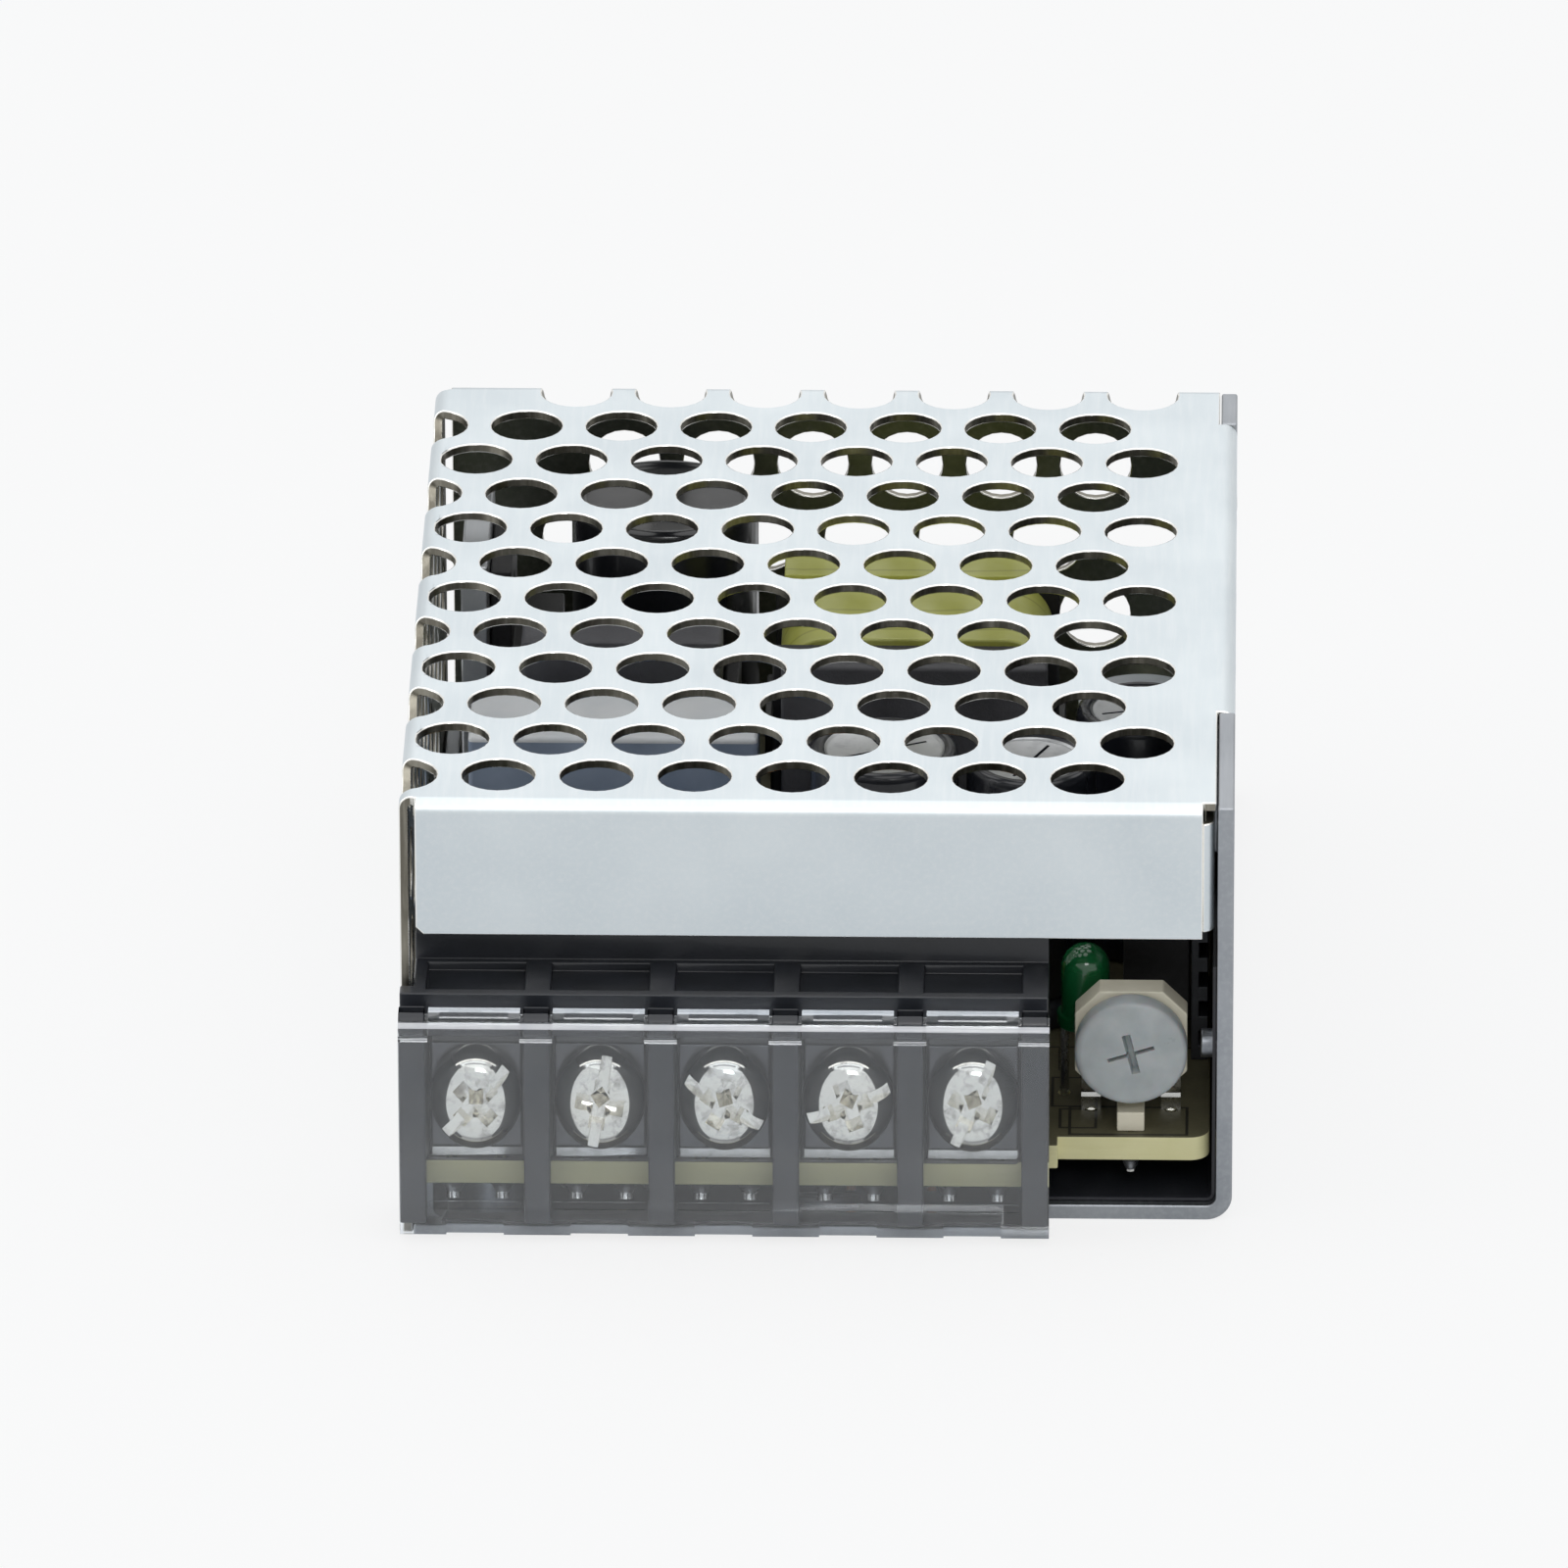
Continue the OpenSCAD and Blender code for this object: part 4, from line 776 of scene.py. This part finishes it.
def make_clear_shield():
    """Clear shield; its narrow faces along the folds and ribs get a pale, partly opaque finish, a painted
    highlight standing in for the light that clear edges gather.
    """
    obj = finished_solid("terminal_shield", clear_moulding, 0.0, body="shield", name="clear_shield",
                         crease=12)
    obj.data.materials.append(clear_painted_highlight.material)
    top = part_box("terminal_shield")[1].z / MM
    back = TO_FRAME.inverted()
    for face in obj.data.polygons:
        spot, n = back @ face.center, face.normal
        corner = spot.y < -3.3 and spot.z > top - 0.5 and n.y < -0.45 and n.z > 0.25
        rib = n.z > 0.9 and 2.6 < spot.z < 3.0 and spot.y > -3.2
        slot = n.z > 0.9 and top - 0.4 < spot.z < top - 0.2
        # these narrow faces take the pale finish, a painted highlight
        if corner or rib or slot:
            face.material_index = 1


make_clear_shield()


# ---------------------------------------------------------------- adjuster and lamp

LAMP = (RIGHT - 9.1, 6.6)
ADJUSTER = (RIGHT - 6.25, 2.4, 10.95)


def make_lamp():
    x, y = LAMP
    bm = bmesh.new()
    dome = [(1.5 * math.cos(math.radians(a)), 3.8 + 1.5 * math.sin(math.radians(a)))
            for a in range(0, 90, 9)]
    turned_into(bm, [(0, 0), (1.68, 0), (1.75, 0.07), (1.75, 0.72), (1.68, 0.8), (1.5, 0.82), (1.5, 1.2)]
                + dome + [(0, 5.3)], 48, (x, y, 10.3))
    piece("lamp_lens", bm, [green_lens], stands_for=("indicator_lamp",))


def make_rotor():
    """Milky disc with an uneven driver cross."""
    bm = bmesh.new()
    turned_into(bm, [(0, -2.0), (1.0, -2.0), (1.1, -1.9), (1.1, 0), (3.35, 0), (3.45, 0.1), (3.45, 1.2),
                     (3.38, 1.36), (3.22, 1.46), (3.0, 1.5), (0, 1.5)], 64)
    disc = piece("adjuster_disc", bm, [grey_moulding], ride=False)
    cuts = []
    for angle, reach, wide in ((18, 1.75, 0.4), (104, 1.55, 0.85)):
        cut = bmesh.new()
        v = taper_into(cut, (-reach, -wide / 2), (reach, wide / 2), 0.8, 2.4, (0.75, 0.35))
        bmesh.ops.rotate(cut, verts=v, cent=(0, 0, 0),
                         matrix=Matrix.Rotation(math.radians(angle), 3, "Z"))
        cuts.append(cut)
    carve(disc, *cuts)
    disc.data.transform(TO_FRAME.inverted())
    disc.data.transform(Matrix.Translation((ADJUSTER[0], ADJUSTER[1] - 0.2, ADJUSTER[2])) @ FACING)
    disc.data.transform(TO_FRAME)
    disc.data.shade_smooth()
    disc.data.set_sharp_from_angle(angle=math.radians(35))
    soften(disc, 0.08, 2, 40)
    return hold(disc, "adjuster", ("trimmer_rotor",))


def make_adjuster_contacts():
    """Bright end clips of the adjuster's track, below the disc."""
    x, y, z = ADJUSTER
    bm = bmesh.new()
    for s in (-1, 1):
        for dx, dz, tilt in ((2.6, -2.55, 48), (1.72, -3.1, 14)):
            v = box_into(bm, (-0.34, -0.13, -0.15), (0.34, 0.13, 0.15))
            bmesh.ops.rotate(bm, verts=v, cent=(0, 0, 0),
                             matrix=Matrix.Rotation(math.radians(-s * tilt), 3, "Y"))
            bmesh.ops.translate(bm, verts=v, vec=(x + s * dx, y - 0.12, z + dz))
    obj = piece("adjuster_clips", bm, [plated_steel])
    return soften(obj, 0.09, 3, 40)


make_lamp()
make_rotor()
make_adjuster_contacts()
finished_solid("lamp_leads", tinned_wire, 0.0)
finished_solid("trimmer_base", cream_moulding, 0.1, 2)
finished_solid("trimmer_pins", tinned_wire, 0.0)


# ---------------------------------------------------------------- parts on the board

def above(height):
    return lambda p: p.z > BOARD_TOP + height


finished_solid("fuse", black_epoxy, 0.35, 3, where=above(0.4))
finished_solid("inrush_thermistor", green_epoxy, 0.3, 3, where=above(1.9))
finished_solid("surge_varistor", orange_epoxy, 0.3, 3, where=above(1.5))
finished_solid("safety_capacitors", blue_epoxy, 0.3, 3, where=above(1.5))
finished_solid("snubber_capacitor", brown_epoxy, 0.25, 3, where=above(3.2))
finished_solid("line_capacitor", boxed_film, 0.3, 3, where=above(0.4))
finished_solid("line_choke_core", ferrite, 0.3, 2)
finished_solid("line_choke_coils", black_epoxy, 0.25, 3, where=above(0.4))
finished_solid("bridge_rectifier", black_epoxy, 0.15, 2, where=above(2.0))
finished_solid("switching_transistor", black_epoxy, 0.12, 2, where=above(2.8))
finished_solid("transistor_heatsink", sink_metal, 0.15, 2)
finished_solid("transformer_core", ferrite, 0.25, 2)
finished_solid("transformer_bobbin", black_epoxy, 0.12, 2, where=above(0.3))
finished_solid("transformer_winding", yellow_tape, 0.2, 2)
finished_solid("output_rectifier", black_epoxy, 0.12, 2, where=above(2.4))
finished_solid("rectifier_heatsink", dark_sink, 0.08, 2)
finished_solid("output_choke", white_box, 0.12, 2, where=above(0.3))
finished_solid("optocoupler", white_box, 0.12, 2, where=above(2.0))
finished_solid("control_chip", black_epoxy, 0.12, 2, where=above(2.0))
finished_solid("resistors", resistor_coat, 0.0)

# X, Y, radius and height of each can
CANS = [(3.8, 20.4, 4.6, 17.0), (12.9, 18.9, 4.0, 17.0), (RIGHT - 5.9, 28.6, 4.0, 16.0)]
BULK = (LEFT + 14.9, 50.9, 5.9, 20.0)


def can_form(r, h):
    """Sleeve rolled over the crimped edge, then the bare aluminium top."""
    sleeve_part = [(0, 0), (r - 0.35, 0), (r - 0.05, 0.15), (r, 0.4), (r, 1.4), (r - 0.12, 1.6),
                   (r - 0.34, 1.9), (r - 0.12, 2.2), (r, 2.4), (r, h - 0.55), (r - 0.06, h - 0.25),
                   (r - 0.2, h - 0.08), (r - 0.42, h), (r - 0.7, h - 0.02), (r - 0.86, h - 0.12)]
    bare = [(r - 0.95, h - 0.22), (r - 1.1, h - 0.25), (0, h - 0.25)]
    return sleeve_part + bare, [0] * (len(sleeve_part) - 1) + [1] * len(bare)


def make_can(name, spot, finish, vents, lead_pitch, lead_r, along_y):
    x, y, r, h = spot
    bm = bmesh.new()
    profile, materials = can_form(r, h)
    turned_into(bm, profile, 56, materials=materials if vents else [0] * len(profile))
    can = piece(name, bm, [finish, vented_aluminium], ride=False)
    cuts = []
    for angle in vents:
        cut = bmesh.new()
        v = taper_into(cut, (-r * 0.62, -0.16), (r * 0.62, 0.16), h - 0.5, h, (1.0, 0.3))
        bmesh.ops.rotate(cut, verts=v, cent=(0, 0, 0),
                         matrix=Matrix.Rotation(math.radians(angle), 3, "Z"))
        cuts.append(cut)
    carve(can, *cuts)
    can.data.transform(TO_FRAME.inverted())
    can.data.transform(Matrix.Translation((x, y, BOARD_TOP)))
    whole = bmesh.new()
    whole.from_mesh(can.data)
    drop(can)
    for s in (-1, 1):
        dx, dy = (0, s * lead_pitch / 2) if along_y else (s * lead_pitch / 2, 0)
        turned_into(whole, [(0, -2.8), (lead_r, -2.8), (lead_r, 0.5), (0, 0.5)], 10,
                    (x + dx, y + dy, BOARD_TOP), materials=[1] * 3)
    return whole


def make_cans():
    whole = bmesh.new()
    for number, spot in enumerate(CANS):
        part = make_can("can_blank", spot, sleeve, (25 + 40 * number, 115 + 40 * number), 3.5, 0.3, False)
        shell = bpy.data.meshes.new("can_part")
        part.to_mesh(shell)
        part.free()
        whole.from_mesh(shell)
        bpy.data.meshes.remove(shell)
    piece("output_cans", whole, [sleeve, vented_aluminium],
          stands_for=("output_capacitors",))
    big = make_can("bulk_blank", BULK, black_sleeve, (), 5.0, 0.35, True)
    piece("bulk_can", big, [black_sleeve, vented_aluminium],
          stands_for=("bulk_capacitor",))


make_cans()


def make_core_tape():
    """Tape lapped over the rear limb of the transformer's core."""
    low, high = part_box("transformer_core")
    x0, x1 = low.x / MM - 0.08, high.x / MM + 0.08
    back, top = high.y / MM - FRONT, high.z / MM
    bm = bmesh.new()
    box_into(bm, (x0, back - 4.4, top - 0.4), (x1, back + 0.1, top + 0.1))
    box_into(bm, (x0, back - 0.3, top - 12.0), (x1, back + 0.1, top + 0.1))
    obj = piece("core_tape", bm, [yellow_tape])
    return soften(obj, 0.1, 2, 40)


make_core_tape()


def make_solder():
    """Bright fillets under the board round the leads nearest the front."""
    bm = bmesh.new()
    under = BOARD_TOP - 1.6
    spots = [(ADJUSTER[0] - 2.45, 4.35), (ADJUSTER[0] + 2.45, 4.35), (ADJUSTER[0], 1.5),
             (LAMP[0] - 1.27, 6.6), (LAMP[0] + 1.27, 6.6)]
    for i in range(5):
        spots += [(cell_middle(i) - 1.5, 2.1), (cell_middle(i) + 1.5, 2.1)]
    for x, y in spots:
        turned_into(bm, [(0.3, -1.05), (0.42, -0.8), (0.55, -0.45), (0.78, -0.12), (0.95, -0.02),
                         (0.95, 0.0)], 16, (x, y, under))
    piece("solder_fillets", bm, [solder])


make_solder()


# ---------------------------------------------------------------- floor, light and camera

def rays_seen(shades, polished_share):
    """How much white a ray meets: straight or through glass, and by way of a polished face."""
    straight, polished, through = (shades.node("ShaderNodeLightPath", out=k) for k in (0, 3, 6))
    return straight.greater(through).greater(polished * polished_share)


def make_floor():
    """Plain white floor that keeps the object's shadow."""
    f = Finish("studio_floor", Roughness=0.95, Specular_IOR_Level=0.0)
    f.feed("Base Color", f.blend(f.clouds(60, 1), rgb(226, 227, 228), rgb(230, 231, 232)))
    seen = rays_seen(f, 0.3)
    white = f.node("ShaderNodeEmission", {}, {"Color": (1, 1, 1, 1), "Strength": 1.0})
    plain = Field(f, f.surface.outputs[0])
    f.tree.links.new(f.node("ShaderNodeMixShader", {}, {0: seen * 0.8, 1: plain, 2: white}).socket,
                     f.end.inputs["Surface"])
    bm = bmesh.new()
    bmesh.ops.create_grid(bm, x_segments=8, y_segments=8, size=3.0)
    mesh = bpy.data.meshes.new("studio_floor")
    bm.to_mesh(mesh)
    bm.free()
    mesh.materials.append(f.material)
    floor = bpy.data.objects.new("studio_floor", mesh)
    bpy.context.scene.collection.objects.link(floor)


def make_world():
    world = bpy.data.worlds.new("studio")
    bpy.context.scene.world = world
    world.use_nodes = True
    world.node_tree.nodes.clear()
    s = Shades(world.node_tree)
    dim = s.node("ShaderNodeBackground", {}, {"Color": (0.95, 0.975, 1.0, 1), "Strength": 0.5})
    white = s.node("ShaderNodeBackground", {}, {"Color": (1, 1, 1, 1), "Strength": 1.0})
    s.node("ShaderNodeOutputWorld", {}, {"Surface": s.node("ShaderNodeMixShader", {}, {
        0: rays_seen(s, 0.65), 1: dim, 2: white})})


def soft_light(name, place, size, power, target=(0, 0, 0.014)):
    """Rectangular soft lamp aimed at the object; place and size in metres, power in watts."""
    lamp = bpy.data.lights.new(name, "AREA")
    lamp.shape, lamp.size, lamp.size_y, lamp.energy = "RECTANGLE", size[0], size[1], power
    obj = bpy.data.objects.new(name, lamp)
    obj.location = place
    obj.rotation_euler = (Vector(target) - Vector(place)).to_track_quat("-Z", "Y").to_euler()
    bpy.context.scene.collection.objects.link(obj)


def make_camera():
    azimuth, elevation, roll = math.radians(1.362), math.radians(25.23), math.radians(-0.18)
    distance, focal = 1.3138, 21441.0
    target = Vector((-2.68, 31.0 + FRONT, 14.84)) * MM
    back = Vector((math.sin(azimuth) * math.cos(elevation), -math.cos(azimuth) * math.cos(elevation),
                   math.sin(elevation)))
    data = bpy.data.cameras.new("camera")
    data.sensor_width = 36.0
    data.lens = focal / 1600 * 36.0
    data.clip_start, data.clip_end = 0.05, 20
    camera = bpy.data.objects.new("camera", data)
    camera.location = target + back * distance
    facing = (-back).to_track_quat("-Z", "Y").to_matrix() @ Matrix.Rotation(roll, 3, "Z")
    camera.rotation_euler = facing.to_euler()
    bpy.context.scene.collection.objects.link(camera)
    bpy.context.scene.camera = camera


make_floor()
make_world()
soft_light("overhead", (0.05, 0.05, 0.75), (1.7, 1.5), 4.9)
soft_light("front_key", (0.12, -0.95, 0.72), (0.3, 0.25), 1.5)
soft_light("left_fill", (-0.65, -0.10, 0.35), (0.35, 0.35), 0.5)
make_camera()
bpy.context.scene.view_settings.view_transform = "Standard"
